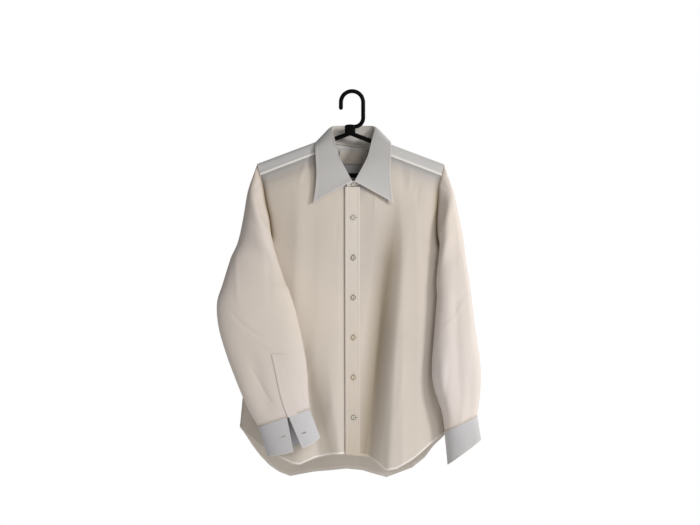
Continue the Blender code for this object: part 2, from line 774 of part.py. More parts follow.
def add_button(name, centre, facing, diameter, thick):
    """A turned button: a rounded rim round a shallow dish, flat behind."""
    radius = diameter / 2
    profile = BUTTON_PROFILE
    sides = BUTTON_SIDES
    aside = unit(np.cross(facing, np.array([0.0, 0.0, 1.0])))
    upward = np.cross(aside, facing)
    angles = np.arange(sides) * 2 * math.pi / sides
    points = [centre + facing * profile[0][1] * thick]
    for out, height in profile[1:-1]:
        for a in angles:
            points.append(
                centre + radius * out * (math.cos(a) * aside + math.sin(a) * upward) + facing * height * thick
            )
    points.append(centre + facing * profile[-1][1] * thick)
    last = len(points) - 1
    rings = len(profile) - 2
    faces = []
    for k in range(sides):
        nxt = (k + 1) % sides
        faces.append((0, 1 + nxt, 1 + k))
        for r in range(rings - 1):
            low, high = 1 + r * sides, 1 + (r + 1) * sides
            faces.append((low + k, low + nxt, high + nxt, high + k))
        low = 1 + (rings - 1) * sides
        faces.append((low + k, low + nxt, last))
    add_solid(name, points, faces, "shell")


def seat_button(name, face, above, height, diameter):
    """A button on cloth that runs upwards from one point to another, at a height above them."""
    facing = unit(np.cross(above - face, np.array([-1.0, 0.0, 0.0])))
    add_button(name, face + facing * height, facing, diameter, BUTTON_THICK)


def add_front_and_back():
    half = PLACKET_WIDTH / 2
    right_edge = PLACKET_X + half - PLACKET_MARGIN
    left_edge = PLACKET_X - half
    across = stretches(FRONT_ACROSS)
    down = stretches(FRONT_DOWN)
    add_wall("front_right", front_surface(-1, right_edge, 1.0), across, down, CLOTH, "cloth")
    add_wall("front_left", front_surface(1, left_edge, 0.0), across, down, CLOTH, "cloth")
    add_wall("back", back_surface, stretches(BACK_ACROSS), stretches(BACK_DOWN), CLOTH, "cloth")


def placket_surface(across, along):
    """The placket: a straight band on the left front, from the neck seam to the hem."""
    x = PLACKET_X + PLACKET_WIDTH * (across - 0.5)
    top = front_top(COLLAR_X) - EDGE_EASE
    z = top + (hem_z(x, FRONT_HEM) - top) * along
    point = body_point(x, z, -1)
    point[..., 1] -= SEAM_GAP / 2
    return point


def add_placket_and_buttons():
    across, down = stretches(PLACKET_ACROSS), stretches(PLACKET_DOWN)
    offset = -(CLOTH + PLACKET_GAP)
    add_wall("front_placket", placket_surface, across, down, CLOTH, "cloth", offset=offset)
    for k in range(BUTTONS):
        z = FIRST_BUTTON_Z - k * BUTTON_STEP
        face, above = body_point(np.full(2, COLLAR_X), np.array([z, z + MM]), -1)
        seat_button(f"button_{k + 1}", face, above, 1.5 * CLOTH + PLACKET_GAP + 2 * SEAM_GAP, BUTTON)


def add_yoke():
    away = stretches(YOKE_AWAY)
    across = np.concatenate([-away[:0:-1], away])
    add_wall("yoke", yoke_surface, across, stretches(YOKE_DOWN), CLOTH, "cloth")


def add_collar():
    with_tab, up = stretches(STAND_ROUND), stretches(STAND_UP)
    add_wall("collar_stand", stand_surface, with_tab, up, CLOTH, "stiff_cloth")
    stations, over = stretches(COLLAR_ROUND), stretches(FALL_OVER)
    add_wall("collar_fall", fall_surface, stations, over, DOUBLE_CLOTH, "stiff_cloth")
    on_tab = np.full(2, FRONT_STATION + 0.1)
    tab, above = stand_surface(on_tab, np.array([0.42, 0.6]))
    seat_button("collar_button", tab, above, CLOTH / 2 + SEAM_GAP, COLLAR_BUTTON)


def label_surface(across, along):
    x = COLLAR_X + LABEL[0] * (across - 0.5)
    z = LABEL_Z + LABEL[1] * (0.5 - along)
    return body_point(x, z, 1, CLOTH + SEAM_GAP)


def add_label():
    across, down = stretches(LABEL_ACROSS), stretches(LABEL_DOWN)
    add_wall("neck_label", label_surface, across, down, LABEL_THICK, "label")


def sleeve_turns(front):
    """Turns of the sleeve's grid lines: even spacing, with the placket's edges among them."""
    edges = sorted(turn_of_share(share, front) for share in PLACKET_SHARES)
    strip = np.linspace(edges[0], edges[1], 3)
    before = np.linspace(0, edges[0], max(3, round(edges[0] * SLEEVE_COLUMNS)), endpoint=False)
    after = np.linspace(edges[1], 1, max(3, round((1 - edges[1]) * SLEEVE_COLUMNS)) + 1)[1:-1]
    return np.concatenate([before, strip, after]), strip


def add_sleeve(name, side, rows, foot_row, folds, slit_in_front):
    surface = sleeve_surface(side, rows, folds)
    turns, strip = sleeve_turns(slit_in_front)
    rings = np.arange(len(rows) * RINGS_PER_ROW + 1) / RINGS_PER_ROW
    add_wall(f"sleeve_{name}", surface, turns, rings, CLOTH, "cloth", closed=True)

    slit = turn_of_share(SLIT_TOP, slit_in_front)
    cuff = cuff_surface(rows[-1], foot_row, slit)
    round_cuff, down = stretches(CUFF_ROUND), stretches(CUFF_DOWN)
    add_wall(f"cuff_{name}", cuff, round_cuff, down, DOUBLE_CLOTH, "stiff_cloth")

    strip_rings = rings[PLACKET_TOP_RING * RINGS_PER_ROW:]
    offset = side * (CLOTH + SEAM_GAP)
    add_wall(f"sleeve_placket_{name}", surface, strip, strip_rings, CLOTH, "cloth", offset=offset)


def main():
    clear_scene()
    add_hanger()
    add_yoke()
    add_front_and_back()
    add_placket_and_buttons()
    add_collar()
    add_label()
    add_sleeve("right", -1, SLEEVE_RIGHT, CUFF_RIGHT, SLEEVE_RIGHT_FOLDS, True)
    add_sleeve("left", 1, SLEEVE_LEFT, CUFF_LEFT, SLEEVE_LEFT_FOLDS, False)


main()
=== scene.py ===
"""Looks of a long-sleeve shirt with a long-point collar, hanging on a plastic hanger.

Every cut piece is a thin shell on a smooth surface, worked out as a whole grid of points. The
same few surfaces carry all of them, so neighbours meet along their seams: the body's depth at a
height and a distance from the middle, the neck seam and the collar's fold, and a ring that runs
down each sleeve. Metres, +Z up; the front faces -Y and +X is on the viewer's right, which is the
wearer's left.
"""

import math
from functools import partial, reduce

import bpy
import numpy as np
from bpy.props import FloatProperty, FloatVectorProperty, IntProperty, PointerProperty
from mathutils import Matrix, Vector


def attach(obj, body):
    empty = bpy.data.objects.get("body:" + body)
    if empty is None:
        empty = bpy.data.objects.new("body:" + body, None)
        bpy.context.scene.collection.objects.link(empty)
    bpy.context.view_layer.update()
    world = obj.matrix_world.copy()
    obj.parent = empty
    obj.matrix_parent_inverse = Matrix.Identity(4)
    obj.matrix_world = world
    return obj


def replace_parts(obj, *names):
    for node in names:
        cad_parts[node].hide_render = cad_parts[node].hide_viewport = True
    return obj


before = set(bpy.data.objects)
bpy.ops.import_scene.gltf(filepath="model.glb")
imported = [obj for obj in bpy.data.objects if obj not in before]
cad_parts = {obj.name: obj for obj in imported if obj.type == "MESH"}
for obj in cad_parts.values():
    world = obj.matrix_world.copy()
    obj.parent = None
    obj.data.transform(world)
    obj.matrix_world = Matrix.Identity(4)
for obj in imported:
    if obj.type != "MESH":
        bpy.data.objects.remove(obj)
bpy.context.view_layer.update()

bl_info = {
    "name": "Shirt on a hanger",
    "version": (1, 0, 0),
    "blender": (4, 5, 0),
    "location": "3D View > Sidebar > Shirt",
    "description": "Builds the cloth, buttons and hanger of a hung long-sleeve shirt",
    "category": "Add Mesh",
}

MM = 0.001

CLOTH = 1.5 * MM  # thickness of the cloth in the solids

# Hanger
ROD = 9.0 * MM
HOOK_RADIUS = 25.0 * MM  # middle of the rod
HOOK_LEFT_DROP = 20.0 * MM
HOOK_RIGHT_DROP = 40.0 * MM
NECK_BEND = 15.0 * MM
HANGER_X = -4.5 * MM
NECK_BLOCK = (24.0 * MM, 14.0 * MM, 26.0 * MM)
NECK_BLOCK_Z = -83.0 * MM
ARM_TOP_Z = -90.0 * MM
ARM_SLOPE = 0.378
ARM_REACH = 201.0 * MM
ARM_ROD = 10.0 * MM
ARM_BEND = 10.0 * MM  # the arm starts to turn back this far inside its reach
BAR_Z = -185.0 * MM

# Shoulders and body
SHOULDER_LIFT = 7.6 * MM  # from the middle of a hanger arm up to the middle of the cloth
SHOULDER_SOFTEN = 15.0 * MM
SHOULDER_TRIM = 2.0 * MM
ARM_ROUND = 7.2 * MM  # radius of the cloth where it wraps an arm
FRONT_FALL = 180.0 * MM  # length over which the cloth leaves the shoulder and gets its depth
BACK_FALL = 120.0 * MM
SIDE_POWER = 3.2
SETTLING_ROUNDS = 6
UNDERARM_Z = -382.0 * MM
ARMHOLE_OPEN = 0.82
ARMHOLE_TURN = 30.0 * MM
YOKE_FRONT_DROP = 27.0 * MM
YOKE_BACK_Z = -221.0 * MM
YOKE_NECK_STATION = 4.42  # where the yoke's front seam meets the neck seam
YOKE_NECK_SHARE = 0.42  # share of the yoke's columns that start on the neck seam
YOKE_SPREAD = 0.85  # power that spaces the columns out along the back seam
SLEEVE_HEAD_DROP = 1.5 * MM
FOLD_RISE = 0.6  # share of a fold's length over which it comes up

# Collar and placket
COLLAR_X = 3.0 * MM
PLACKET_X = 1.0 * MM
PLACKET_WIDTH = 33.0 * MM
PLACKET_MARGIN = 2.0 * MM  # the edge under the placket lies inside it by this
LEFT_MARGIN = 0.5 * MM  # and that of the left front by this
LAP = 2.4 * MM
LAP_END = 50.0 * MM  # distance from its edge where the right front is back in the common surface
LAP_FADE = 20.0 * MM
BUTTON = 11.0 * MM
BUTTON_THICK = 2.4 * MM
FIRST_BUTTON_Z = -280.5 * MM
BUTTON_STEP = 89.4 * MM
BUTTONS = 6
COLLAR_BUTTON = 9.0 * MM
COLLAR_BUTTON_SHARES = (0.42, 0.6)  # share of the stand's height at its middle and above it
LABEL = (62.0 * MM, 30.0 * MM)
LABEL_Z = -143.0 * MM

# Sleeves and cuffs
SLEEVE_CLEARANCE = 4.0 * MM
SIDE_ROOM = 12.0 * MM
SLIT_TOP = 0.577  # share of the sleeve's front, from its outer edge, where the slit meets the cuff
HALF_SLIT_TOP = 0.006  # of a turn, at each side of the slit
HALF_SLIT_FOOT = 0.027
SLEEVE_COLUMNS = 24

# Body sections: height, left and right edge, depth of the front and of the back
BODY = dict(
    z=(-868, -756, -688, -576, -464, -410, -384, -362, -333, -295, -245, -194, -166),
    left=(-252, -252, -246, -238, -233, -229, -224, -203, -184, -184, -194, -203, -212),
    right=(221, 222, 222, 223, 223, 223, 220, 206, 194, 191, 193, 198, 206),
    front=(54, 54, 50, 47, 44, 43, 42, 42, 42, 42, 42, 42, 42),
    back=(60, 58, 54, 50, 46, 45, 44, 44, 44, 44, 44, 44, 44),
)

# Hem outlines, from the viewer's left side seam to the right one
FRONT_HEM = dict(
    x=(-252, -240, -204, -169, -133, -117, -83, -50, -17, 33, 54, 75, 99, 136, 180, 205, 224),
    z=(-750, -764, -794, -814, -831, -833, -818, -811, -809, -816, -828, -846, -842, -821, -784,
       -765, -750),
)
BACK_HEM = dict(
    x=(-252, -240, -226, -207, -186, -164, -140, -86, -12, 24, 78, 136, 164, 184, 206, 224),
    z=(-750, -769, -792, -818, -840, -855, -865, -855, -848, -852, -868, -845, -822, -795, -773,
       -750),
)

# Hanging folds of the front and the back: top and bottom point, half-width on the left and on
# the right, and height. A height below zero is a hollow.
FRONT_FOLDS = (
    (121, -200, 82, -860, 24, 110, 19),
    (80, -260, 34, -830, 40, 24, -19),
    (-116, -500, -74, -840, 26, 18, -9),
    (-62, -540, -24, -840, 18, 34, 7),
    (-120, -560, -112, -850, 30, 34, 6),
    (176, -560, 182, -790, 28, 20, -9),
    (140, -190, 150, -420, 12, 18, 3),
    (100, -180, 112, -330, 9, 14, 2),
    (-118, -190, -128, -420, 16, 22, 3),
    (-66, -260, -84, -560, 22, 22, 2),
)
BACK_FOLDS = (
    (-95, -240, -120, -850, 30, 30, 8),
    (-40, -240, -44, -850, 26, 26, -6),
    (60, -240, 84, -855, 30, 30, 8),
    (130, -300, 140, -800, 24, 24, -6),
    (-160, -300, -176, -780, 24, 24, -5),
    (10, -420, 16, -840, 20, 20, 4),
)

# Collar stations from the back centre to the front: point on the neck seam (distance from the
# centre, drop from the shoulder line with front below zero), point on the fold, point on the edge
COLLAR = dict(
    seam_x=(0, 30, 52, 62, 59, 51, 36, 18, 1),
    seam_drop=(33, 24, 11, 0, -17, -50, -83, -112, -124),
    fold_x=(0, 30, 47, 48, 42, 33, 22.5, 10.5, 3),
    fold_y=(31, 30, 21, 2, -17, -29, -37, -42, -45),
    fold_z=(-73, -73, -75, -86, -107, -141, -163, -185, -199),
    edge_x=(0, 40, 70, 82, 85, 84, 82.5, 84.5, 89.5),
    edge_y=(45, 44, 28, 4, -24, -38, -45, -49, -51),
    edge_z=(-127, -126, -119, -109, -121, -150, -178, -212, -247),
)
FRONT_STATION = 8.0
NECK_SIDE_STATION = 3.2
COLLAR_CLEARANCE = 2.6 * MM
STAND_INSET = 1.2 * MM  # the stand's top edge lies inside the fall by this
STAND_LIFT = 1.4 * MM
STAND_TAB = 16.0 * MM  # overlap at the front, on the wearer's left end
STAND_LAP_RISE = 0.8  # stations over which that end comes forward
FALL_STRAIGHT = 3.0  # stations before the front over which the fall loses its turned-over shape
FALL_OUT = 0.3
FALL_DOWN = 0.35
FALL_TIP_LAP = 0.3  # share of the overlap's thickness that the points still stand out by

# Sleeves. A ring is its outer edge x, y, z, its inner edge x, y, z and half the depth between
# front and back: those of the sleeve from below the armhole down to the cuff seam, then that of
# the cuff's edge. A fold is a share of the turn round the sleeve, the half-width of that share,
# the rings that it runs between and its height. A height below zero is a hollow.
SLEEVES = {
    "right": dict(
        side=-1,
        slit_in_front=True,
        cuff_sag=9.0 * MM,
        rings=(
            (-233, -14, -220, -192, -30, -300, 28), (-243, -24, -279, -174, -42, -352, 30),
            (-255, -30, -333, -159, -52, -398, 27), (-273, -46, -378, -150, -58, -425, 29),
            (-289, -60, -430, -141, -66, -443, 29), (-301, -68, -472, -129, -72, -479, 28),
            (-297, -74, -526, -117, -76, -526, 28), (-280, -79, -585, -105, -80, -585, 27),
            (-266, -83, -623, -100, -84, -626, 26), (-246, -87, -673, -98, -88, -668, 24),
            (-228, -90, -712, -96, -91, -692, 22), (-207, -93, -747, -95, -93, -709, 20),
        ),
        cuff_ring=(-186, -96, -812, -72, -96, -770, 20),
        folds=(
            (0.3, 0.25, 0.05, 3.0, 2), (0.13, 0.06, 1.0, 7.0, 3), (0.26, 0.06, 5.0, 9.0, -1),
            (0.36, 0.06, 2.0, 9.0, 2), (0.63, 0.06, 2.0, 10.0, -5), (0.80, 0.05, 4.0, 11.0, 4),
            (0.18, 0.04, 7.0, 12.0, -4),
        ),
    ),
    "left": dict(
        side=1,
        slit_in_front=False,
        cuff_sag=0.0,
        rings=(
            (227, -12, -220, 199, -30, -305, 28), (237, -18, -266, 196, -40, -356, 32),
            (249, -15, -324, 190, -48, -404, 33), (255, -21, -374, 189, -50, -430, 37),
            (263, -27, -425, 190, -52, -457, 39), (270, -31, -482, 187, -54, -497, 40),
            (277, -34, -539, 183, -56, -549, 41), (285, -37, -590, 179, -58, -600, 41),
            (288, -39, -630, 180, -59, -644, 39), (287, -41, -666, 190, -58, -682, 37),
            (284, -42, -697, 202, -56, -722, 34), (279, -43, -725, 208, -54, -760, 32),
        ),
        cuff_ring=(287, -44, -778, 215, -55, -832, 31),
        folds=(
            (0.3, 0.25, 0.05, 3.0, 2), (0.12, 0.05, 1.0, 8.0, 5), (0.24, 0.04, 4.0, 11.5, -5),
            (0.34, 0.04, 7.0, 12.0, 4), (0.16, 0.03, 8.5, 12.0, -4), (0.64, 0.06, 2.0, 10.0, -5),
            (0.82, 0.05, 3.0, 11.0, 5),
        ),
    ),
}

# Sleeve placket: shares across the sleeve at its two edges, the first on the slit, and the ring
# at its square top
PLACKET_SHARES = (SLIT_TOP, 0.76)
PLACKET_TOP_RING = 8

# Looks only
SHARP_ANGLE = math.radians(50)  # faces that meet at more than this have a sharp edge
LOOSE_BEND = 20.0 * MM  # the hook's lower bend
ROD_SHOWN = 9.4 * MM
BUTTON_PROFILE = ((0, 0), (0.86, 0), (1, 0.35), (0.94, 0.85), (0.8, 1), (0.62, 0.72), (0, 0.62))
BUTTON_LIFT = 0.7 * MM
COLLAR_BUTTON_LIFT = 1.2 * MM
COLLAR_BUTTON_PAST = 0.1  # stations past the front
CUFF_SAG_SHARE = 0.12  # share of the way round over which the cuff's edge sags
# The top button, whose painted shade at the rim is fainter
FAINT_SHADE_BUTTON = "button_1"
# Buttons whose rims carry a painted warm reflection
WARM_LIT_BUTTONS = ("button_4", "button_5")
LEVEL_BUTTONHOLES = ("button_1", "button_6", "collar_button")
HOLE_LENGTH = 17.0 * MM
HOLE_WIDTH = 1.3 * MM
HOLE_THREAD = 0.5 * MM
HOLE_POINTS = 40
HOLE_SINK = 0.2 * MM  # how far it lies below the button
CUFF_HOLES = (("a", 0.045, 0.66), ("b", 0.955, 0.55))  # share round the cuff, share down
CUFF_HOLE_LIFT = 1.9 * MM
CUFF_HOLE_SHARE = 0.55  # length against the front's buttonholes
THREAD_SPREAD = 0.11  # share of the button's width from its middle to a bar of thread
THREAD_ARCH = 0.5 * MM
THREAD_RADIUS = 0.3 * MM
THREAD_POINTS = 11
THREAD_SIDES = 8
PLACKET_LIFT = 1.5 * MM
SLEEVE_PLACKET_LIFT = 1.5 * MM
CUFF_LIFT = 0.9 * MM
LABEL_THICK = 0.6 * MM
LABEL_SINK = 0.4 * MM
COLLAR_TIP_STATION = 7.4  # the fall's grid is finer from here on
RIPPLE = 0.55 * MM  # wrinkles of the stand at the back of the neck
RIPPLE_WIDTH = 32 * MM
RIPPLE_ASIDE = 4 * MM  # towards the grid's first side
RIPPLE_FADE = 12 * MM
INNER_RELIEF = 0.6  # share of a shell's relief that its inner face follows
FOLD_POWER = 1.5  # two is a round bell, and a lower power gives a crease
TUCK = 5.0 * MM  # hollow of the fronts below the yoke's seam
TUCK_DROP = 38.0 * MM
TUCK_WIDTH = 11.0 * MM
CAMERA_X = -4.6 * MM
CAMERA_Z = -381.0 * MM
SENSOR_WIDTH = 36.0
LIGHT_TARGET = (0.0, 0.0, -0.45)
FRONT_DEPTH = 45.0 * MM  # how far the front lies before the hanger's plane, for the camera's lens
NECK_BLOCK_POWER = 0.35  # one is a round block, and zero a square one

# Painted shade in the fronts' two hollows: top and bottom point, half-width and share
PAINTED_HOLLOW_SHADES = ((106, -220, 30, -800, 38, 0.7), (-104, -560, -48, -800, 26, 0.36))
SHADE_RISE = 160.0 * MM

# Cut pieces, a left and a right one together: finish, flat size in metres, area where the outline
# is curved, and the piece that it hangs on
CUTS = {
    "yoke": ("yoke", (0.46, 0.19), 0.068, "hanger_frame"),
    "back": ("back", (0.56, 0.64), 0.32, "shirt_yoke"),
    "front": ("front", (0.28, 0.71), 0.175, "shirt_yoke"),
    "front_placket": ("placket", (PLACKET_WIDTH, 0.605), None, "shirt_front_left"),
    "collar_stand": ("stand", (0.42, 0.045), 0.012, "shirt_yoke"),
    "collar_fall": ("collar", (0.46, 0.10), 0.03, "shirt_collar_stand"),
    "neck_label": ("label", LABEL, None, "shirt_yoke"),
    "sleeve": ("sleeve", (0.40, 0.58), 0.155, "shirt_yoke"),
    "sleeve_placket": ("sleeve_placket", (0.03, 0.15), None, "shirt_sleeve_{side}"),
    "cuff": ("cuff", (0.23, 0.07), None, "shirt_sleeve_{side}"),
}

# Ridges of the stitched seams: height, distance from the edge and half-width in millimetres, and
# the sides that have one
RIDGES = {
    "yoke": (1.5, 3.5, 2.6, ("top",)),
    "front_placket": (0.35, 3, 2, ("side", "far_side")),
    "collar_fall": (0.3, 3, 1.8, ("side", "far_side", "foot")),
    "sleeve_placket": (0.5, 2, 1.5, ("side", "far_side", "top")),
    "cuff": (0.3, 3, 1.8, ("side", "far_side", "top", "foot")),
}
HEMMED = ("yoke", "back", "front", "front_placket")
HEM_SOFT = 0.8 * MM

# Bands of painted light and shade beside the seams: a painted highlight on edges and a painted
# cool shade on the fronts below the yoke. Each has its colour, the map and its axis that hold the
# length from that side, the length at the middle of the band, its half-width and its share
SEAM_LIGHT_AND_SHADE = {
    "front": [
        # Painted cool shade on the fronts' top, below the yoke
        ("shadow_colour", "Cut", 1, 0.0, 0.060, 0.85),
        ("edge_highlight_colour", "Far", 1, 0.003, 0.005, 0.8),
    ],
    "back": [("edge_highlight_colour", "Far", 1, 0.003, 0.005, 0.6)],
    "yoke": [("edge_highlight_colour", name, 1, 0.002, 0.006, 1.0) for name in ("Cut", "Far")],
    "collar": [
        ("edge_highlight_colour", *side, 0.0, 0.003, 0.5) for side in (("Far", 1), ("Cut", 0), ("Far", 0))
    ],
    "cuff": [("edge_highlight_colour", "Far", 1, 0.0, 0.003, 0.4)],
}

# Short creases: the length across the cut, from the closing edge or the sleeve's outer edge, the
# length down it, the slant in degrees, and the crease's length, half-width and height
CREASES = {
    "front_right": (
        (176, 30, 78, 46, 5, 1.2), (160, 24, 84, 60, 6, -1.0), (150, 470, 62, 90, 6, -1.3),
        (128, 500, 68, 80, 6, 1.2), (70, 560, 80, 110, 7, 0.9), (60, 130, 86, 120, 7, -0.7),
    ),
    "front_left": (
        (192, 34, 104, 50, 5, 1.3), (176, 30, 98, 64, 5, -1.1), (206, 62, 108, 54, 4, -1.0),
        (58, 368, 24, 34, 3.5, -0.9), (70, 380, 30, 30, 3.5, 0.7), (140, 520, 97, 130, 7, 1.0),
        (90, 90, 95, 90, 6, 0.8),
    ),
    "back": (
        (150, 26, 96, 48, 7, 1.2), (176, 40, 84, 60, 7, -1.1), (330, 22, 80, 46, 7, 1.2),
        (352, 44, 98, 60, 7, -1.2), (120, 330, 40, 90, 8, -1.4), (146, 356, 34, 80, 8, 1.3),
        (300, 300, -36, 80, 8, 1.3), (276, 330, -42, 90, 8, -1.4), (230, 430, 84, 140, 9, 1.2),
        (90, 480, 78, 110, 8, -1.2), (390, 450, 100, 120, 8, 1.2),
    ),
    "sleeve_right": (
        (70, 330, 24, 60, 6, -1.3), (96, 352, 34, 54, 5, 1.1), (40, 240, 66, 90, 7, 0.9),
        (110, 200, 74, 110, 7, -0.8), (60, 470, 82, 70, 5, -1.0), (140, 505, 96, 60, 5, 0.9),
        (250, 300, 30, 70, 6, -1.2), (300, 220, 80, 90, 7, 0.9),
    ),
    "sleeve_left": (
        (52, 262, -28, 46, 5, -1.4), (74, 286, 22, 54, 5, 1.3), (96, 268, -18, 40, 4, -1.1),
        (44, 160, 80, 100, 7, 0.9), (100, 420, 84, 100, 6, -1.0), (60, 500, 92, 60, 5, 1.0),
        (130, 500, 86, 54, 5, -0.9), (240, 280, -24, 60, 6, 1.1), (290, 400, 84, 90, 7, -0.9),
    ),
}

WAVE_RISE = 60.0 * MM  # drop below the shoulder at which the waves reach their full height
# Low waves of the hung cloth: millimetres across and down for one wave, start and height
WAVES = (
    (170, 1900, 0.4, 0.9),
    (96, -1300, 2.1, 0.55),
    (61, 900, 4.0, 0.3),
    (380, 310, 1.3, 0.7),
    (-210, 190, 5.1, 0.35),
)


def hermite(t, width, start, end, first_slope, last_slope):
    """A cubic from a start to an end that has the given slopes there."""
    return (
        (2 * t**3 - 3 * t**2 + 1) * start
        + (t**3 - 2 * t**2 + t) * width * first_slope
        + (3 * t**2 - 2 * t**3) * end
        + (t**3 - t**2) * width * last_slope
    )


def smooth(stations, values, at):
    """A smooth curve through the values of a table, read at any places."""
    stations, values, at = (np.asarray(given, dtype=float) for given in (stations, values, at))
    slopes = np.gradient(values, stations)
    held = np.clip(at, stations[0], stations[-1])
    row = np.clip(np.searchsorted(stations, held, side="right") - 1, 0, len(stations) - 2)
    width = stations[row + 1] - stations[row]
    t = (held - stations[row]) / width
    result = hermite(t, width, values[row], values[row + 1], slopes[row], slopes[row + 1])
    beyond = at - held
    return result + beyond * np.where(beyond < 0, slopes[0], slopes[-1])


def ease(t):
    """Rises smoothly from 0 to 1."""
    t = np.clip(t, 0, 1)
    return t * t * (3 - 2 * t)


def bell(away, width):
    """A round bump: 1 in the middle, falling on both sides as exp(-(away / width)^2)."""
    return np.exp(-((away / width) ** 2))


def unit(vectors):
    """The same directions with a length of 1."""
    length = np.linalg.norm(vectors, axis=-1, keepdims=True)
    return vectors / np.maximum(length, 1e-12)


def shoulder_z(x):
    """Height of the shoulder fold, which lies on the hanger's arms."""
    reach = np.sqrt((x - HANGER_X) ** 2 + SHOULDER_SOFTEN**2)
    return ARM_TOP_Z + SHOULDER_LIFT - ARM_SLOPE * (reach - SHOULDER_TRIM)


def body_edge(z, side):
    """Where the body ends sideways: its armhole, and below that its side seam."""
    return smooth(BODY["z"], BODY["left" if side < 0 else "right"], z / MM) * MM


def side_edge(x, z):
    """Distance of the body's edge from x = 0 on the side where x is."""
    return np.where(x < 0, -body_edge(z, -1), body_edge(z, 1))


def fold_lift(folds, x, z):
    """Height that the hanging folds add: a bell across each line, fading at its top."""
    lift = np.zeros_like(x)
    for top_x, top_z, foot_x, foot_z, left, right, height in folds:
        along = (z / MM - top_z) / (foot_z - top_z)
        line = top_x + (foot_x - top_x) * np.clip(along, 0, 1)
        away = x / MM - line
        near = np.exp(-(np.abs(away / np.where(away < 0, left, right)) ** FOLD_POWER))
        lift = lift + height * MM * ease(along / FOLD_RISE) * near
    return lift


def wave_lift(x, z):
    """Low waves of hung cloth: a sum of sines that run mostly up and down."""
    lift = np.zeros_like(x)
    for across, down, start, height in WAVES:
        wave = np.sin(2 * math.pi * (x / (across * MM) + z / (down * MM)) + start)
        lift = lift + height * MM * wave
    return lift


def quarter_round(distance, length):
    """Share of the full depth at a distance along a quarter of an ellipse."""
    run = np.clip(distance / length, 0, 1)
    return np.sqrt(np.maximum(1 - (1 - run) ** 2, 0))


def body_depth(x, z, face, side_room=0.0):
    """Distance of the front or back from the middle plane.

    The cloth wraps the hanger's arm, leaves the shoulder in a quarter of an ellipse, rounds
    away at the side and carries its folds.
    """
    front = face < 0
    drop = shoulder_z(x) - z
    leaving = quarter_round(drop, FRONT_FALL if front else BACK_FALL)
    open_share = ease((z - UNDERARM_Z) / ARMHOLE_TURN)
    on_arm = quarter_round(drop, ARM_ROUND) * ARM_ROUND * open_share
    edge = side_edge(x, z) + side_room * (1 - open_share)
    share = np.clip(np.abs(x) / edge, 0, 1)
    closing = 1 - (1 - open_share * (1 - ARMHOLE_OPEN)) * share**SIDE_POWER
    rounding = np.sqrt(np.maximum(closing, 0))
    deep = smooth(BODY["z"], BODY["front" if front else "back"], z / MM) * MM
    lift = fold_lift(FRONT_FOLDS if front else BACK_FOLDS, x, z) * rounding
    lift = lift + wave_lift(x, z) * rounding * ease(drop / WAVE_RISE)
    if front:
        lift = lift - TUCK * bell(drop - TUCK_DROP, TUCK_WIDTH)
    return np.hypot(leaving * (deep * rounding + lift), on_arm)


def body_point(x, z, face, deeper=0.0):
    """A point of the front (face -1) or the back (face 1), or one that lies deeper inside."""
    y = face * (body_depth(x, z, face) - deeper)
    return np.stack([x, y, z], axis=-1)


def settle_panel(turn, along, x_of, top_of, hem):
    """Places a panel's grid from its top seam to its hem.

    Height depends on the distance from the middle and that on the height, so both are worked
    out in turns until they settle.
    """
    z = np.full_like(turn, UNDERARM_Z)
    for _ in range(SETTLING_ROUNDS):
        x = x_of(z)
        top = top_of(x)
        z = top + (np.interp(x / MM, hem["x"], hem["z"]) * MM - top) * along
    return x_of(z), z


def neck_drop(x):
    """Drop of the front neck seam below the shoulder line, at a distance from the middle."""
    place, root = seam_place(np.linspace(FRONT_STATION, NECK_SIDE_STATION, 81))
    return np.interp(np.abs(x - COLLAR_X), place - COLLAR_X, root * root * MM, right=0.0)


def front_top(x):
    """Height of the front's top: the yoke's seam, or the neck seam where that lies lower."""
    below_yoke = np.maximum(YOKE_FRONT_DROP, neck_drop(x))
    return shoulder_z(x) - below_yoke


def front_surface(side, inner_x, under):
    """The front from its closing edge to the side, from the neck and yoke seam to the hem.

    Under is 1 for the front that lies below the placket and 0 for the other.
    """

    def surface(across, along):
        turn = np.sin(across * math.pi / 2)

        def x_of(z):
            return inner_x + (body_edge(z, side) - inner_x) * turn

        x, z = settle_panel(turn, along, x_of, front_top, FRONT_HEM)
        lap = under * LAP * ease((LAP_END - (x - inner_x) * side) / LAP_FADE)
        return body_point(x, z, -1, lap)

    return surface


def back_surface(across, along):
    """The back from side to side, from the yoke seam to the hem."""
    turn = np.sin(across * math.pi / 2)

    def x_of(z):
        return side_edge(turn, z) * turn

    x, z = settle_panel(turn, along, x_of, lambda x: YOKE_BACK_Z, BACK_HEM)
    return body_point(x, z, 1)


def signed_root(drop):
    """Square root that keeps the sign."""
    return np.sign(drop) * np.sqrt(np.abs(drop))


def collar_value(column, station, odd=False):
    """A column of the collar table at a station, mirrored to the other half of the neck."""
    values = np.array(COLLAR[column], dtype=float)
    if column == "seam_drop":
        values = signed_root(values)
    count = len(values)
    mirrored = np.concatenate([values[:0:-1] * (-1 if odd else 1), values])
    return smooth(np.arange(1 - count, count), mirrored, station)


def seam_place(station):
    """Distance from the middle and signed root of the drop, for a point on the neck seam."""
    x = COLLAR_X + collar_value("seam_x", station, odd=True) * MM
    return x, collar_value("seam_drop", station)


def rooted_point(x, root, lift=0.0):
    """The body's point at a signed root of the drop, in millimetres, front below zero."""
    drop = root * root * MM
    z = shoulder_z(x) - drop
    front = body_point(x, z, -1)
    back = body_point(x, z, 1)
    point = np.where((root < 0)[..., None], front, back)
    point[..., 2] += lift
    return point


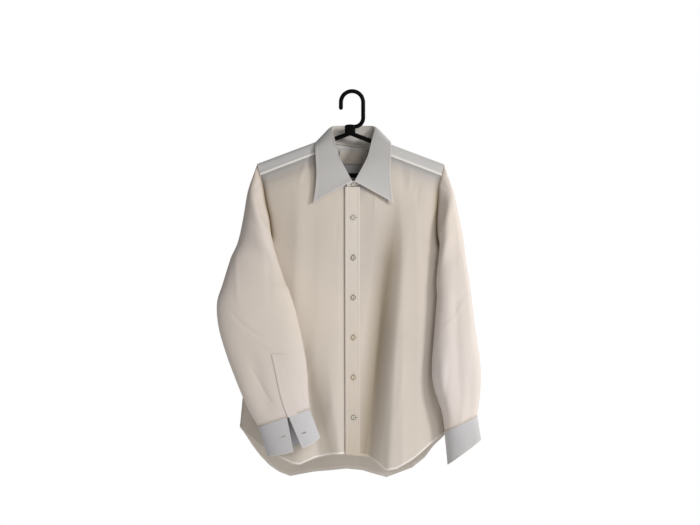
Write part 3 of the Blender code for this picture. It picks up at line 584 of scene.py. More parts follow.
def yoke_surface(across, along):
    """The yoke from the neck and front seams, over the shoulders, down to the back seam."""
    side = np.where(across < 0, -1.0, 1.0)
    away = np.abs(across)
    neck_x, neck_root = seam_place(side * np.clip(away / YOKE_NECK_SHARE, 0, 1) * YOKE_NECK_STATION)
    seam_share = np.clip((away - YOKE_NECK_SHARE) / (1 - YOKE_NECK_SHARE), 0, 1)
    front_root = -math.sqrt(YOKE_FRONT_DROP / MM)
    on_neck = away < YOKE_NECK_SHARE
    start_root = np.where(on_neck, neck_root, front_root)
    end_share = away**YOKE_SPREAD

    def x_of(z):
        edge = side_edge(side, z)
        first = neck_x + (side * edge - neck_x) * seam_share
        return first + (side * edge * end_share - first) * ease(along)

    def root_of(x):
        end_root = signed_root((shoulder_z(x) - YOKE_BACK_Z) / MM)
        return start_root + (end_root - start_root) * along

    x = x_of(np.full_like(away, ARM_TOP_Z))
    for _ in range(SETTLING_ROUNDS):
        root = root_of(x)
        x = x_of(shoulder_z(x) - root * root * MM)
    return rooted_point(x, root_of(x))


def collar_point(line, station):
    """A point of the collar's fold or edge line at a station."""
    x = COLLAR_X + collar_value(f"{line}_x", station, odd=True) * MM
    y, z = (collar_value(f"{line}_{axis}", station) * MM for axis in "yz")
    return np.stack([x, y, z], axis=-1)


def stand_surface(station, along):
    """The stand from the neck seam up to the fold, and on into a tab that laps over its end."""
    lapped = np.maximum(station - FRONT_STATION, 0)
    station = np.minimum(station, FRONT_STATION)
    x, root = seam_place(station)
    base = rooted_point(x, root, STAND_LIFT)
    top = collar_point("fold", station)
    top = top - STAND_INSET * unit((top - np.array([COLLAR_X, 0, 0])) * np.array([1, 1, 0]))
    point = base + (top - base) * along[..., None]
    over = ease((station - FRONT_STATION) / STAND_LAP_RISE + 1)
    point[..., 0] -= lapped * STAND_TAB
    point[..., 1] -= over * LAP
    return point


def fall_surface(station, along):
    """The fall from the fold over to its free edge: it turns over first and then drops."""
    start = collar_point("fold", station)
    reach = collar_point("edge", station) - start
    turned = ease((FRONT_STATION - np.abs(station)) / FALL_STRAIGHT)
    sideways = (along ** (1 - FALL_OUT * turned))[..., None] * reach * np.array([1, 1, 0])
    downwards = (along ** (1 + FALL_DOWN * turned))[..., None] * reach * np.array([0, 0, 1])
    point = start + sideways + downwards
    over = ease((np.abs(station) - FRONT_STATION) / STAND_LAP_RISE + 1)
    point[..., 1] -= over * LAP * (1 - (1 - FALL_TIP_LAP) * along)
    return clear_of_body(point, COLLAR_CLEARANCE)


def clear_of_body(point, clearance, side_room=0.0):
    """Moves points that would lie inside the body out in front of it, or behind if they are there.

    Side room rounds the path past the side of the body at that distance.
    """
    x, y, z = point[..., 0], point[..., 1], point[..., 2]
    edge = side_edge(x, z) + side_room
    in_front = (y < 0) | (z < UNDERARM_Z)
    front = -body_depth(x, z, -1, side_room) - clearance
    back = body_depth(x, z, 1, side_room) + clearance
    moved = np.where(in_front, np.minimum(y, front), np.maximum(y, back))
    near = (np.abs(x) < edge) & (z < shoulder_z(x) + clearance)
    result = point.copy()
    result[..., 1] = np.where(near, moved, y)
    return result


def armhole_point(turn, side):
    """The armhole: down the front for the first half turn, up the back for the second."""
    down = 0.5 * (1 - np.cos(turn * 2 * math.pi))
    shoulder_end = body_edge(BODY["z"][-1] * MM, side)
    top_z = shoulder_z(shoulder_end) - SLEEVE_HEAD_DROP
    z = top_z + (UNDERARM_Z - top_z) * down
    x = body_edge(z, side)
    depth = np.where(turn % 1.0 < 0.5, -body_depth(x, z, -1), body_depth(x, z, 1))
    return np.stack([x, depth, z], axis=-1)


def ring_point(turn, row):
    """A flattened ring: outer edge at turn 0, front at a quarter, inner edge at a half."""
    values = np.array(row) * MM
    outer, inner, half_depth = values[:3], values[3:6], values[6]
    swing = np.cos(turn * 2 * math.pi)[..., None]
    point = (outer + inner) / 2 + (outer - inner) / 2 * swing
    point[..., 1] -= half_depth * np.sin(turn * 2 * math.pi)
    return point


def along_rings(rings, place):
    """A smooth curve through each point of the rings, read at a place between them."""
    rings = np.stack(rings)
    last = len(rings) - 1
    row = np.clip(np.floor(place).astype(int), 0, last - 1)
    t = (place - row)[..., None]
    slopes = np.gradient(rings, axis=0)

    def pick(values, index):
        return np.take_along_axis(values, index[None, ..., None], axis=0)[0]

    near, far = (pick(rings, row + k) for k in (0, 1))
    return hermite(t, 1, near, far, pick(slopes, row), pick(slopes, row + 1))


def sleeve_surface(table):
    """The sleeve round and down: a loft through the armhole and the rings, with its folds."""
    side, rows, folds = table["side"], table["rings"], table["folds"]
    round_ring = np.arange(SLEEVE_COLUMNS) / SLEEVE_COLUMNS
    centres = [armhole_point(round_ring, side).mean(axis=0)]
    centres += [ring_point(round_ring, row).mean(axis=0) for row in rows]

    def surface(turn, place):
        rings = [armhole_point(turn, side)] + [ring_point(turn, row) for row in rows]
        point = along_rings(rings, place)
        middle = along_rings([centre + np.zeros_like(rings[0]) for centre in centres], place)
        outward = unit(point - middle)
        for at, width, first, last, height in folds:
            run = (place - first) / (last - first)
            near = bell(turn % 1.0 - at, width)
            fade = ease(run * 3) * ease((1 - run) * 3)
            point = point + outward * (height * MM * near * fade)[..., None]
        lower = ease(place * 2)
        cleared = clear_of_body(point, SLEEVE_CLEARANCE, SIDE_ROOM)
        return point + (cleared - point) * lower[..., None]

    return surface


def cuff_surface(table):
    """The cuff from its seam down to its edge, round from one side of the slit to the other.

    The slit widens on its way down, and the edge sags in a bell beside it.
    """
    slit = turn_of_share(SLIT_TOP, table["slit_in_front"])

    def surface(across, along):
        half_slit = HALF_SLIT_TOP + (HALF_SLIT_FOOT - HALF_SLIT_TOP) * along
        turn = slit + half_slit + (1 - 2 * half_slit) * across
        top = ring_point(turn, table["rings"][-1])
        foot = ring_point(turn, table["cuff_ring"])
        from_slit = np.minimum(across, 1 - across)
        foot[..., 2] -= table["cuff_sag"] * bell(from_slit, CUFF_SAG_SHARE)
        return top + (foot - top) * along[..., None]

    return surface


def turn_of_share(share, front=True):
    """The turn at a share of the way across the sleeve from its outer to its inner edge."""
    half = math.acos(1 - 2 * share) / (2 * math.pi)
    return half if front else 1 - half


def arc(centre_x, centre_z, radius, start, end, count):
    """Points of an arc in the plane y = 0, between two angles in degrees."""
    angles = np.radians(np.linspace(start, end, count))
    return [(centre_x + radius * math.cos(a), 0.0, centre_z + radius * math.sin(a)) for a in angles]


def placket_surface(across, along):
    """The placket: a straight band on the left front, from the neck seam to the hem."""
    x = PLACKET_X + PLACKET_WIDTH * (across - 0.5)
    top = front_top(COLLAR_X)
    z = top + (np.interp(x / MM, FRONT_HEM["x"], FRONT_HEM["z"]) * MM - top) * along
    return body_point(x, z, -1)


def label_surface(across, along):
    """The label, flat on the inner face of the back."""
    x = COLLAR_X + LABEL[0] * (across - 0.5)
    z = LABEL_Z + LABEL[1] * (0.5 - along)
    return body_point(x, z, 1, CLOTH)


def steps(*parts):
    """Grid lines of stretches that follow each other: start, end and number of cells."""
    lines = [np.linspace(start, end, cells + 1) for start, end, cells in parts]
    return np.unique(np.round(np.concatenate(lines), 9))


def quads(columns, rows):
    """Corners of the cells of a grid whose points are stored column by column."""
    first = (np.arange(columns - 1)[:, None] * rows + np.arange(rows - 1)).reshape(-1)
    return np.stack([first, first + rows, first + rows + 1, first + 1], axis=-1)


def rim(columns, rows, closed):
    """Edges of a grid, each against the sense of its cell, so that a wall can start there."""
    column, row = np.arange(columns), np.arange(rows)
    near, far = column * rows, column * rows + rows - 1
    parts = [np.stack([near[1:], near[:-1]], -1), np.stack([far[:-1], far[1:]], -1)]
    if not closed:
        last = (columns - 1) * rows + row
        parts += [np.stack([row[:-1], row[1:]], -1), np.stack([last[1:], last[:-1]], -1)]
    return np.concatenate(parts)


def distances(point):
    """Length along the surface from each side of the grid: first column, first row, last ones."""
    across = np.linalg.norm(np.diff(point, axis=0), axis=-1)
    along = np.linalg.norm(np.diff(point, axis=1), axis=-1)
    from_side = np.concatenate([np.zeros((1, point.shape[1])), np.cumsum(across, axis=0)])
    from_top = np.concatenate([np.zeros((point.shape[0], 1)), np.cumsum(along, axis=1)], axis=1)
    return from_side, from_top, from_side[-1:] - from_side, from_top[:, -1:] - from_top


def outward_normals(point, closed):
    """Unit normals of a grid, turned away from the tube's middle or from the body's."""
    ring = point[:-1] if closed else point
    if closed:
        ring = np.concatenate([ring[-1:], ring, ring[:1]])
    across = np.gradient(ring, axis=0)
    across = np.concatenate([across[1:-1], across[1:2]]) if closed else across
    normal = unit(np.cross(across, np.gradient(point, axis=1)))
    hub = point[:-1].mean(axis=0, keepdims=True) if closed else point * np.array([0, 0, 1])
    turned = np.sum(normal * (point - hub)) < 0
    return (-normal if turned else normal), turned


def add_shell(name, surface, across, along, thickness, finish, lift, relief, closed):
    """A thin shell of even thickness on a surface over a grid of its two measures.

    Lift moves the whole shell outwards. Relief is a function of the lengths from the four sides
    that raises the outer face. The maps Cut and Far hold those lengths in metres.
    """
    point = surface(*np.meshgrid(across, along, indexing="ij"))
    normal, turned = outward_normals(point, closed)
    side, top, far_side, foot = distances(point)
    raised = relief(side, top, far_side, foot)
    outer = point + normal * (lift + thickness / 2 + raised)[..., None]
    inner = point + normal * (lift - thickness / 2 + INNER_RELIEF * raised)[..., None]
    columns, rows = side.shape
    count = columns * rows
    face, edge = quads(columns, rows), rim(columns, rows, closed)
    wall = np.concatenate([edge, edge[:, ::-1] + count], axis=1)
    corners = np.concatenate([face, face[:, ::-1] + count, wall])
    if turned:
        corners = corners[:, ::-1]
    maps = {}
    for key, lengths in (("Cut", (side, top)), ("Far", (far_side, foot))):
        both_faces = np.concatenate([np.stack(lengths, -1).reshape(-1, 2)] * 2)
        maps[key] = both_faces[corners.reshape(-1)]
    points = np.concatenate([outer.reshape(-1, 3), inner.reshape(-1, 3)])
    if closed:
        corners = np.where(corners % count >= count - rows, corners - (count - rows), corners)
        keep = np.arange(2 * count) % count < count - rows
        points, order = points[keep], np.cumsum(keep) - 1
        corners = order[corners]
    return add_mesh(name, points, corners.tolist(), finish, maps)


def add_mesh(name, points, faces, finish, maps=None):
    """A smooth mesh with its material and its maps of two lengths, carried by the root body."""
    mesh = bpy.data.meshes.new(name)
    mesh.from_pydata(points.reshape(-1, 3).tolist(), [], faces)
    for key, value in (maps or {}).items():
        layer = mesh.uv_layers.new(name=key)
        layer.data.foreach_set("uv", np.ascontiguousarray(value, dtype=np.float32).ravel())
    mesh.update()
    mesh.shade_smooth()
    mesh.set_sharp_from_angle(angle=SHARP_ANGLE)
    mesh.materials.append(finish)
    piece = bpy.data.objects.new(name, mesh)
    bpy.context.scene.collection.objects.link(piece)
    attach(piece, "root")
    return piece


def crease_lift(creases, side, top):
    """Short creases: each a bell across its own slanting line that fades at both ends."""
    lift = np.zeros_like(side)
    for across, down, slant, length, half_width, height in creases:
        right, below = side / MM - across, top / MM - down
        turn = math.radians(slant)
        along = (right * math.cos(turn) + below * math.sin(turn)) / (length / 2)
        away = (below * math.cos(turn) - right * math.sin(turn)) / half_width
        lift = lift + height * MM * np.exp(-(away**2) - along**4)
    return lift


def stand_ripple(side, foot):
    """Wrinkles of the stand at the back of the neck: two sines in a bell, flat at the fold."""
    turn = side * 2 * math.pi / MM
    ripple = np.sin(turn / 8.5) + 0.6 * np.sin(turn / 5.3 + 1)
    near = bell(side - side[-1:] / 2 + RIPPLE_ASIDE, RIPPLE_WIDTH)
    return RIPPLE * near * ripple * ease(foot / RIPPLE_FADE)


def seam_relief(node, kind, side, top, far_side, foot):
    """Height that the seams, the turned hem and the short creases add to a piece."""
    sizes = bpy.context.scene.shirt_cloth
    lift = np.zeros_like(side)
    if kind in RIDGES:
        height, place, width, names = RIDGES[kind]
        sides = {"side": side, "top": top, "far_side": far_side, "foot": foot}
        away = np.minimum.reduce([sides[name] for name in names])
        lift = lift + height * MM * bell(away - place * MM, width * MM)
    if kind in HEMMED:
        lift = lift + sizes.hem_height * ease((sizes.hem_width - foot) / HEM_SOFT)
    if kind == "collar_stand":
        lift = lift + stand_ripple(side, foot)
    return lift + crease_lift(CREASES.get(node, ()), side, top)


def add_node(tree, kind, inputs=(), **settings):
    """A shader node with its settings; each input takes a value or another node's output."""
    made = tree.nodes.new(kind)
    for key, value in settings.items():
        setattr(made, key, value)
    for socket, value in dict(inputs).items():
        if isinstance(value, bpy.types.NodeSocket):
            tree.links.new(value, made.inputs[socket])
        else:
            made.inputs[socket].default_value = value
    return made


def calc(tree, operation, *values, clamp=False):
    """Output of a math node."""
    inputs = dict(enumerate(values))
    return add_node(tree, "ShaderNodeMath", inputs, operation=operation, use_clamp=clamp).outputs[0]


def start_material(name, roughness, **sockets):
    """A material and its tree and shader; constants go straight on the shader's own sockets."""
    made = bpy.data.materials.new(name)
    made.use_nodes = True
    tree = made.node_tree
    shader = tree.nodes["Principled BSDF"]
    shader.inputs["Roughness"].default_value = roughness
    for socket, value in sockets.items():
        shader.inputs[socket.replace("_", " ")].default_value = value
    return made, tree, shader


def times(tree, *values):
    """Output of the product of some values."""
    return reduce(partial(calc, tree, "MULTIPLY"), values)


def ramp(tree, value, start, end):
    """A share that goes evenly from 0 where the value is start to 1 where it is end."""
    scale = 1.0 / (end - start)
    return calc(tree, "MULTIPLY_ADD", value, scale, -start * scale, clamp=True)


def away_from(tree, value, place):
    """Output of the distance of a value from a place."""
    return calc(tree, "ABSOLUTE", calc(tree, "SUBTRACT", value, place))


def wire(tree, shader, colour, height=None, strength=0.5, distance=0.001):
    """Joins a colour to the shader, and a bump of this height."""
    tree.links.new(colour, shader.inputs["Base Color"])
    if height is not None:
        values = {"Height": height, "Strength": strength, "Distance": distance}
        bump = add_node(tree, "ShaderNodeBump", values)
        tree.links.new(bump.outputs["Normal"], shader.inputs["Normal"])


def object_place(tree):
    """Output of the place in the object's own coordinates."""
    return add_node(tree, "ShaderNodeTexCoord").outputs["Object"]


def length_map(tree, name):
    """Output of the map Cut or Far."""
    return add_node(tree, "ShaderNodeUVMap", uv_map=name).outputs["UV"]


def axes_of(tree, vector):
    """Outputs of a vector's three values."""
    return add_node(tree, "ShaderNodeSeparateXYZ", {"Vector": vector}).outputs


def noise(tree, where, scale, detail=2.0, distortion=0.0):
    """Output of a cloudy noise."""
    values = {"Vector": where, "Scale": scale, "Detail": detail, "Distortion": distortion}
    return add_node(tree, "ShaderNodeTexNoise", values).outputs["Fac"]


def mapped(tree, where, **settings):
    """Output of a vector that is moved or stretched."""
    return add_node(tree, "ShaderNodeMapping", {"Vector": where, **settings}).outputs["Vector"]


def mix(tree, share, first, second, blend="MIX"):
    """Output of a colour mix; each colour is three values or an output."""
    made = add_node(tree, "ShaderNodeMix", data_type="RGBA", blend_type=blend)
    colours = [socket for socket in made.inputs if socket.type == "RGBA"]
    for socket, value in zip([made.inputs[0]] + colours, (share, first, second)):
        if isinstance(value, bpy.types.NodeSocket):
            tree.links.new(value, socket)
        else:
            socket.default_value = (*value, 1) if socket.type == "RGBA" else value
    return [socket for socket in made.outputs if socket.type == "RGBA"][0]


def stitch_rows(tree, rows, sizes):
    """Masks of stitch rows, each at a length from one side: the thread and the dip round it.

    A row is (map, axis, distance). The thread shows for about two thirds of each stitch.
    """
    masks = []
    for name, axis, distance in rows:
        lengths = axes_of(tree, length_map(tree, name))
        away = away_from(tree, lengths[axis], distance)
        turn = times(tree, lengths[1 - axis], 2 * math.pi / sizes.stitch_length)
        dash = ramp(tree, calc(tree, "SINE", turn), -0.6, -4 / 15)
        line = ramp(tree, away, sizes.thread_width, sizes.thread_width / 2)
        found = times(tree, line, dash), ramp(tree, away, sizes.stitch_dip, 0)
        masks = [calc(tree, "MAXIMUM", *pair) for pair in zip(masks, found)] if masks else found
    return masks


def painted_seam_band(tree, name, axis, distance, half_width, depth):
    """Share of painted light and shade beside a seam: a soft band at a length from one side."""
    lengths = axes_of(tree, length_map(tree, name))
    near = ramp(tree, away_from(tree, lengths[axis], distance), half_width, 0)
    return times(tree, near, near, depth)


def painted_hollow_shade(tree, place, hollow):
    """Share of the painted shade in a hollow: a soft band along its line, growing from its top."""
    top_x, top_z, foot_x, foot_z, half_width = np.array(hollow[:5]) * MM
    axes = axes_of(tree, place)
    lean = (foot_x - top_x) / (foot_z - top_z)
    line = calc(tree, "MULTIPLY_ADD", axes[2], lean, top_x - top_z * lean)
    near = ramp(tree, away_from(tree, axes[0], line), half_width, 0)
    return times(tree, near, ramp(tree, axes[2], top_z, top_z - SHADE_RISE), hollow[5])


def cloth_material(name, colour, warm, rows=(), painted_shades=()):
    """Plain-woven shirting: crossing threads, uneven yarn, slow changes of tint and stitch rows,
    with painted shade and painted highlight along the seams and in the fronts' hollows.
    """
    sizes = bpy.context.scene.shirt_cloth
    sheen = {"Sheen_Weight": 0.12, "Sheen_Roughness": 0.4}
    made, tree, shader = start_material(f"shirting_{name}", 0.82, **sheen)
    lengths, place = length_map(tree, "Cut"), object_place(tree)
    pitch = 2 * math.pi / sizes.thread_pitch
    turns = (times(tree, axis, pitch) for axis in axes_of(tree, lengths)[:2])
    warp, weft = (calc(tree, "SINE", turn) for turn in turns)
    slubs = noise(tree, mapped(tree, lengths, Scale=(900, 60, 1)), 1.0)
    slow = noise(tree, place, 3.2, 1.0)
    middle = noise(tree, mapped(tree, place, Scale=(1, 1, 0.5)), 14.0, 3.0, 0.6)
    crumple = noise(tree, mapped(tree, place, Scale=(1, 1, 0.6)), 26.0, 3.0, 0.8)
    uneven = calc(tree, "MULTIPLY_ADD", middle, 0.10, 0.95)
    shade = times(tree, uneven, calc(tree, "MULTIPLY_ADD", slubs, 0.05, 0.975))
    grey = add_node(tree, "ShaderNodeCombineColor", {"Red": shade, "Green": shade, "Blue": shade})
    toned = mix(tree, ramp(tree, slow, 0.1875, 0.8125), colour, warm)
    toned = mix(tree, 1.0, toned, grey.outputs["Color"], "MULTIPLY")
    # Painted shade along seams and in recesses
    for row in painted_shades:
        toned = mix(tree, painted_seam_band(tree, *row), toned, sizes.painted_shade_colour, "MULTIPLY")
    # Painted highlight on edges, and painted cool shade on the fronts below the yoke
    for setting, *row in SEAM_LIGHT_AND_SHADE.get(name, ()):
        toned = mix(tree, painted_seam_band(tree, *row), toned, getattr(sizes, setting))
    # Painted shade in the fronts' two hollows
    for hollow in PAINTED_HOLLOW_SHADES if name == "front" else ():
        share = painted_hollow_shade(tree, place, hollow)
        toned = mix(tree, share, toned, sizes.painted_shade_colour, "MULTIPLY")
    height = calc(tree, "MULTIPLY_ADD", crumple, 0.9, times(tree, warp, weft, 0.035))
    if rows:
        thread, dip = stitch_rows(tree, rows, sizes)
        toned = mix(tree, times(tree, thread, 0.7), toned, sizes.thread_colour)
        height = calc(tree, "MULTIPLY_ADD", dip, -0.5, height)
        height = calc(tree, "MULTIPLY_ADD", thread, 0.3, height)
    wire(tree, shader, toned, height)
    return made


def plastic_material(colour):
    """Moulded plastic: near black, a little uneven in gloss, with fine rub marks."""
    made, tree, shader = start_material("hanger_plastic", 0.45, Specular_IOR_Level=0.05)
    place = object_place(tree)
    cloud = noise(tree, place, 45.0, 3.0)
    rub = noise(tree, mapped(tree, place, Scale=(40, 400, 400)), 1.0, 4.0)
    tone = mix(tree, times(tree, cloud, rub), colour, [2.2 * value for value in colour])
    tree.links.new(calc(tree, "MULTIPLY_ADD", rub, 0.22, 0.24), shader.inputs["Roughness"])
    wire(tree, shader, tone, cloud, 0.15, 0.0005)
    return made


def button_material(name, colour, ring, centre, radius):
    """Pearl-like button: a cloudy shell with painted shade at its rim and in its middle."""
    made, tree, shader = start_material(name, 0.22, Coat_Weight=0.4, Coat_Roughness=0.15)
    place = mapped(tree, object_place(tree), Location=[-value for value in centre])
    cloud = noise(tree, place, 380.0, 2.0, 2.5)
    out = axes_of(tree, length_map(tree, "Cut"))[1]
    outer = ramp(tree, out, 0.625 * radius, 0.75 * radius)
    middle = ramp(tree, out, 16 / 45 * radius, 11 / 45 * radius)
    # Painted shade: the rim colour at the button's edge and round its thread
    share = calc(tree, "MULTIPLY_ADD", cloud, 0.4, calc(tree, "MAXIMUM", outer, middle))
    wire(tree, shader, mix(tree, calc(tree, "SUBTRACT", share, 0.14, clamp=True), colour, ring))
    return made


def stage_material(name, colour):
    """Matt pale card with the faintest cloud of grey."""
    glow = {"Emission_Color": (*colour, 1), "Emission_Strength": 0.35}
    made, tree, shader = start_material(name, 0.9, **glow)
    cloud = noise(tree, object_place(tree), 1.5, 1.0)
    wire(tree, shader, mix(tree, cloud, colour, [0.97 * value for value in colour]))
    return made


def measure(name, text, value):
    """A length that a user can change."""
    return FloatProperty(name=name, description=text, default=value, unit="LENGTH")


def tint(name, text, *value):
    """A colour that a user can change."""
    return FloatVectorProperty(name=name, description=text, default=value, subtype="COLOR")


def watts(name, text, value):
    """The power of a light that a user can change."""
    return FloatProperty(name=name, description=text, default=value, subtype="POWER")


class ShirtClothSettings(bpy.types.PropertyGroup):
    """Sizes and colours of the cloth."""

    thickness: measure("Cloth", "Thickness of one layer", 0.0008)
    doubled: measure("Doubled cloth", "Collar and cuffs", 0.0016)
    seam_step: measure("Seam step", "How far a seam's upper layer stands out", 0.0011)
    hem_width: measure("Hem", "Width of the turned hem", 0.0065)
    hem_height: measure("Hem step", "Height of the turned hem", 0.0006)
    top_stitch: measure("Top stitching", "From a collar or cuff edge", 0.006)
    edge_stitch: measure("Edge stitching", "From a seam's edge", 0.0016)
    stitch_length: measure("Stitch", "Length of one stitch", 0.0024)
    stitch_dip: measure("Stitch dip", "Half-width of the dip", 0.0014)
    thread_width: measure("Thread", "Width of the thread", 0.0005)
    thread_pitch: measure("Yarn pitch", "Two yarns of the weave", 0.0009)
    body_colour: tint("Fronts", "Cloth of the fronts", 0.54, 0.485, 0.43)
    # Painted light: the back is lighter than the fronts, to make up for the shadow that the fronts
    # cast on its inside
    back_lit_colour: tint("Back", "Cloth of the back, lightened as painted light", 0.68, 0.62, 0.56)
    sleeve_colour: tint("Sleeves", "Cloth of the sleeves", 0.625, 0.56, 0.535)
    warm_colour: tint("Warm tint", "Tint that comes and goes", 0.64, 0.56, 0.47)
    # Painted shade: the yoke's cloth is made darker and cooler, as it faces up and away from the
    # light; the collar and cuffs take it as their second tint
    yoke_shade_colour: tint("Yoke", "Cloth of the yoke, darkened as painted shade", 0.375, 0.36, 0.345)
    collar_colour: tint("Collar", "Interfaced cloth of the collar", 0.61, 0.595, 0.58)
    cuff_colour: tint("Cuffs", "Interfaced cloth of the cuffs", 0.55, 0.54, 0.555)
    label_colour: tint("Label", "Blank label", 0.62, 0.60, 0.56)
    placket_colour: tint("Placket", "Doubled cloth of the placket", 0.65, 0.59, 0.53)
    # Painted shade: multiplied into the cloth along seams, in the armhole's recess and in hollows
    painted_shade_colour: tint("Painted crease shade", "Painted shade in seams, recesses and hollows", 0.36, 0.29, 0.17)
    # Painted highlight on the edges of seams, hems, collar and cuffs
    edge_highlight_colour: tint("Edges", "Seam and hem edges that catch the light", 0.86, 0.82, 0.77)
    # Painted shade: cool and dark on the fronts' top, below the yoke
    shadow_colour: tint("Front top shade", "Painted cool shade of the fronts below the yoke", 0.34, 0.335, 0.34)
    hole_colour: tint("Buttonholes", "Thread of the buttonholes", 0.18, 0.155, 0.115)
    thread_colour: tint("Thread colour", "Thread of the seams and buttons", 0.66, 0.61, 0.54)


class ShirtHardwareSettings(bpy.types.PropertyGroup):
    """Sizes and colours of the hanger and the buttons."""

    hanger_colour: tint("Hanger", "Moulded plastic", 0.0025, 0.0022, 0.002)
    button_colour: tint("Button", "Light part of the shell", 0.66, 0.62, 0.55)
    # Painted shade at the buttons' rims and middles
    button_shade_ring: tint("Button rim", "Painted shade at the rim and the middle", 0.20, 0.175, 0.14)
    faint_shade_ring: tint("Pale rim", "Fainter painted shade at the rim of the top button", 0.36, 0.33, 0.28)
    warm_light_ring: tint("Warm light rim", "Painted warm reflection on the rims of these buttons", 0.32, 0.21, 0.07)
    tube_sides: IntProperty(name="Tube sides", description="Faces round the rod", default=32, min=8)


class ShirtStageSettings(bpy.types.PropertyGroup):
    """Camera, floor and light."""

    frame_width: measure("Frame", "Width that the picture shows", 1.566)
    distance: measure("Camera distance", "In front of the shirt", 8.0)
    floor_z: measure("Floor", "Height of the floor", -1.25)
    floor_radius: measure("Floor radius", "Size of the floor", 2.2)
    colour: tint("Stage", "Colour of the floor", 0.93, 0.93, 0.93)
    key: watts("Main light", "Soft light from the right", 72.0)
    fill: watts("Fill light", "Softer light from the front", 38.0)
    back: watts("Back light", "Soft light from the side behind", 84.0)
    air: FloatProperty(name="Air", description="Strength of the light from all round", default=0.25)


def round_rings(path, aside, forward, radius, sides):
    """Circles round the points of a path: radius * (cos a * aside + sin a * forward)."""
    angle = (np.arange(sides) * 2 * math.pi / sides)[None, :, None]
    aside, forward = (np.broadcast_to(axis, path.shape)[:, None] for axis in (aside, forward))
    circle = np.cos(angle) * aside + np.sin(angle) * forward
    return path[:, None] + np.reshape(radius, (-1, 1, 1)) * circle


def revolve(rows, sides):
    """Faces of rings that follow each other, with a flat cap at each end."""
    ring, spoke = np.meshgrid(np.arange(rows - 1) * sides, np.arange(sides), indexing="ij")
    after = (spoke + 1) % sides
    corners = [ring + spoke, ring + after, ring + sides + after, ring + sides + spoke]
    faces = np.stack(corners, axis=-1).reshape(-1, 4).tolist()
    return faces + [list(range(sides))[::-1], list(range((rows - 1) * sides, rows * sides))]


def round_tube(name, path, radius, sides, finish):
    """A round tube along a path in the plane y = 0, whose rings shrink by a cosine at both ends."""
    path = np.asarray(path, dtype=float)
    ahead = unit(np.gradient(path, axis=0))
    dome = np.linspace(0, math.pi / 2, 7)[1:]
    start = path[0] - ahead[0] * radius * np.sin(dome[::-1])[:, None]
    end = path[-1] + ahead[-1] * radius * np.sin(dome)[:, None]
    scale = np.concatenate([np.cos(dome[::-1]), np.ones(len(path)), np.cos(dome)]).clip(0.03)
    path = np.concatenate([start, path, end])
    ahead = np.concatenate([np.repeat(ahead[:1], 6, 0), ahead, np.repeat(ahead[-1:], 6, 0)])
    aside = np.stack([ahead[:, 2], np.zeros(len(path)), -ahead[:, 0]], axis=-1)
    points = round_rings(path, aside, np.array([0.0, 1.0, 0.0]), radius * scale, sides)
    return add_mesh(name, points, revolve(len(path), sides), finish)


def across_button(facing):
    """Two directions in a button's plane: level, and up."""
    aside = unit(np.cross(facing, np.array([0.0, 0.0, 1.0])))
    return aside, np.cross(aside, facing)


def turned_button(name, centre, facing, radius, thick, sides, finish):
    """A turned button: a smooth curve through its profile, carried round its axis."""
    profile = np.array(BUTTON_PROFILE).T
    place = np.linspace(0, len(BUTTON_PROFILE) - 1, 8 * len(BUTTON_PROFILE) - 7)
    out, height = (smooth(np.arange(len(values)), values, place) for values in profile)
    out, height = out.clip(0.01) * radius, height * thick
    points = round_rings(centre + height[:, None] * facing, *across_button(facing), out, sides)
    faces = revolve(len(out), sides)
    lengths = np.repeat(np.stack([height, out], -1), sides, axis=0)
    cut = np.concatenate([lengths[face] for face in faces])
    return add_mesh(name, points, faces, finish, {"Cut": cut})


def button_stitches(name, centre, facing, spread, finish):
    """Two bars of thread, each a thin tube that arches from one hole of the button to the next."""
    aside, upward = across_button(facing)
    run = np.linspace(-1, 1, THREAD_POINTS)[:, None]
    arch = centre + run * spread * upward + THREAD_ARCH * (1 - run**4) * facing
    paths = [arch + side * spread * aside for side in (-1, 1)]
    bars = [round_rings(path, aside, facing, THREAD_RADIUS, THREAD_SIDES) for path in paths]
    faces = revolve(THREAD_POINTS, THREAD_SIDES)
    second = [[corner + THREAD_POINTS * THREAD_SIDES for corner in face] for face in faces]
    return add_mesh(name, np.concatenate(bars), faces + second, finish)


def place_on(surface, across, along):
    """A point on a tube's surface with its direction round the tube and its outward direction."""
    near = surface(*np.meshgrid([across, across + 0.01], [along, along + 0.01], indexing="ij"))
    middle = surface(np.linspace(0, 1, 41), np.full(41, along)).mean(axis=0)
    run, down = unit(near[1, 0] - near[0, 0]), unit(near[0, 1] - near[0, 0])
    facing = unit(np.cross(down, run))
    return near[0, 0], run, facing * np.sign(np.dot(facing, near[0, 0] - middle))


def buttonhole(name, centre, run, facing, share=1.0):
    """A buttonhole: a thin tube of thread along a long oval round its cut."""
    count, sides = HOLE_POINTS, THREAD_SIDES
    turn = (np.arange(count) * math.pi / (count / 2))[:, None]
    long, wide = share * HOLE_LENGTH / 2, HOLE_WIDTH / 2
    aside = np.cross(facing, run)
    out = unit(wide * np.cos(turn) * run + long * np.sin(turn) * aside)
    path = centre + long * np.cos(turn) * run + wide * np.sin(turn) * aside
    ring, spoke = np.meshgrid(np.arange(count) * sides, np.arange(sides), indexing="ij")
    after, beside = (ring + sides) % (count * sides), (spoke + 1) % sides
    faces = np.stack([ring + spoke, after + spoke, after + beside, ring + beside], axis=-1)
    points = round_rings(path, out, facing, HOLE_THREAD, sides)
    return add_mesh(name, points, faces.reshape(-1, 4).tolist(), cloth_finish("buttonhole"))


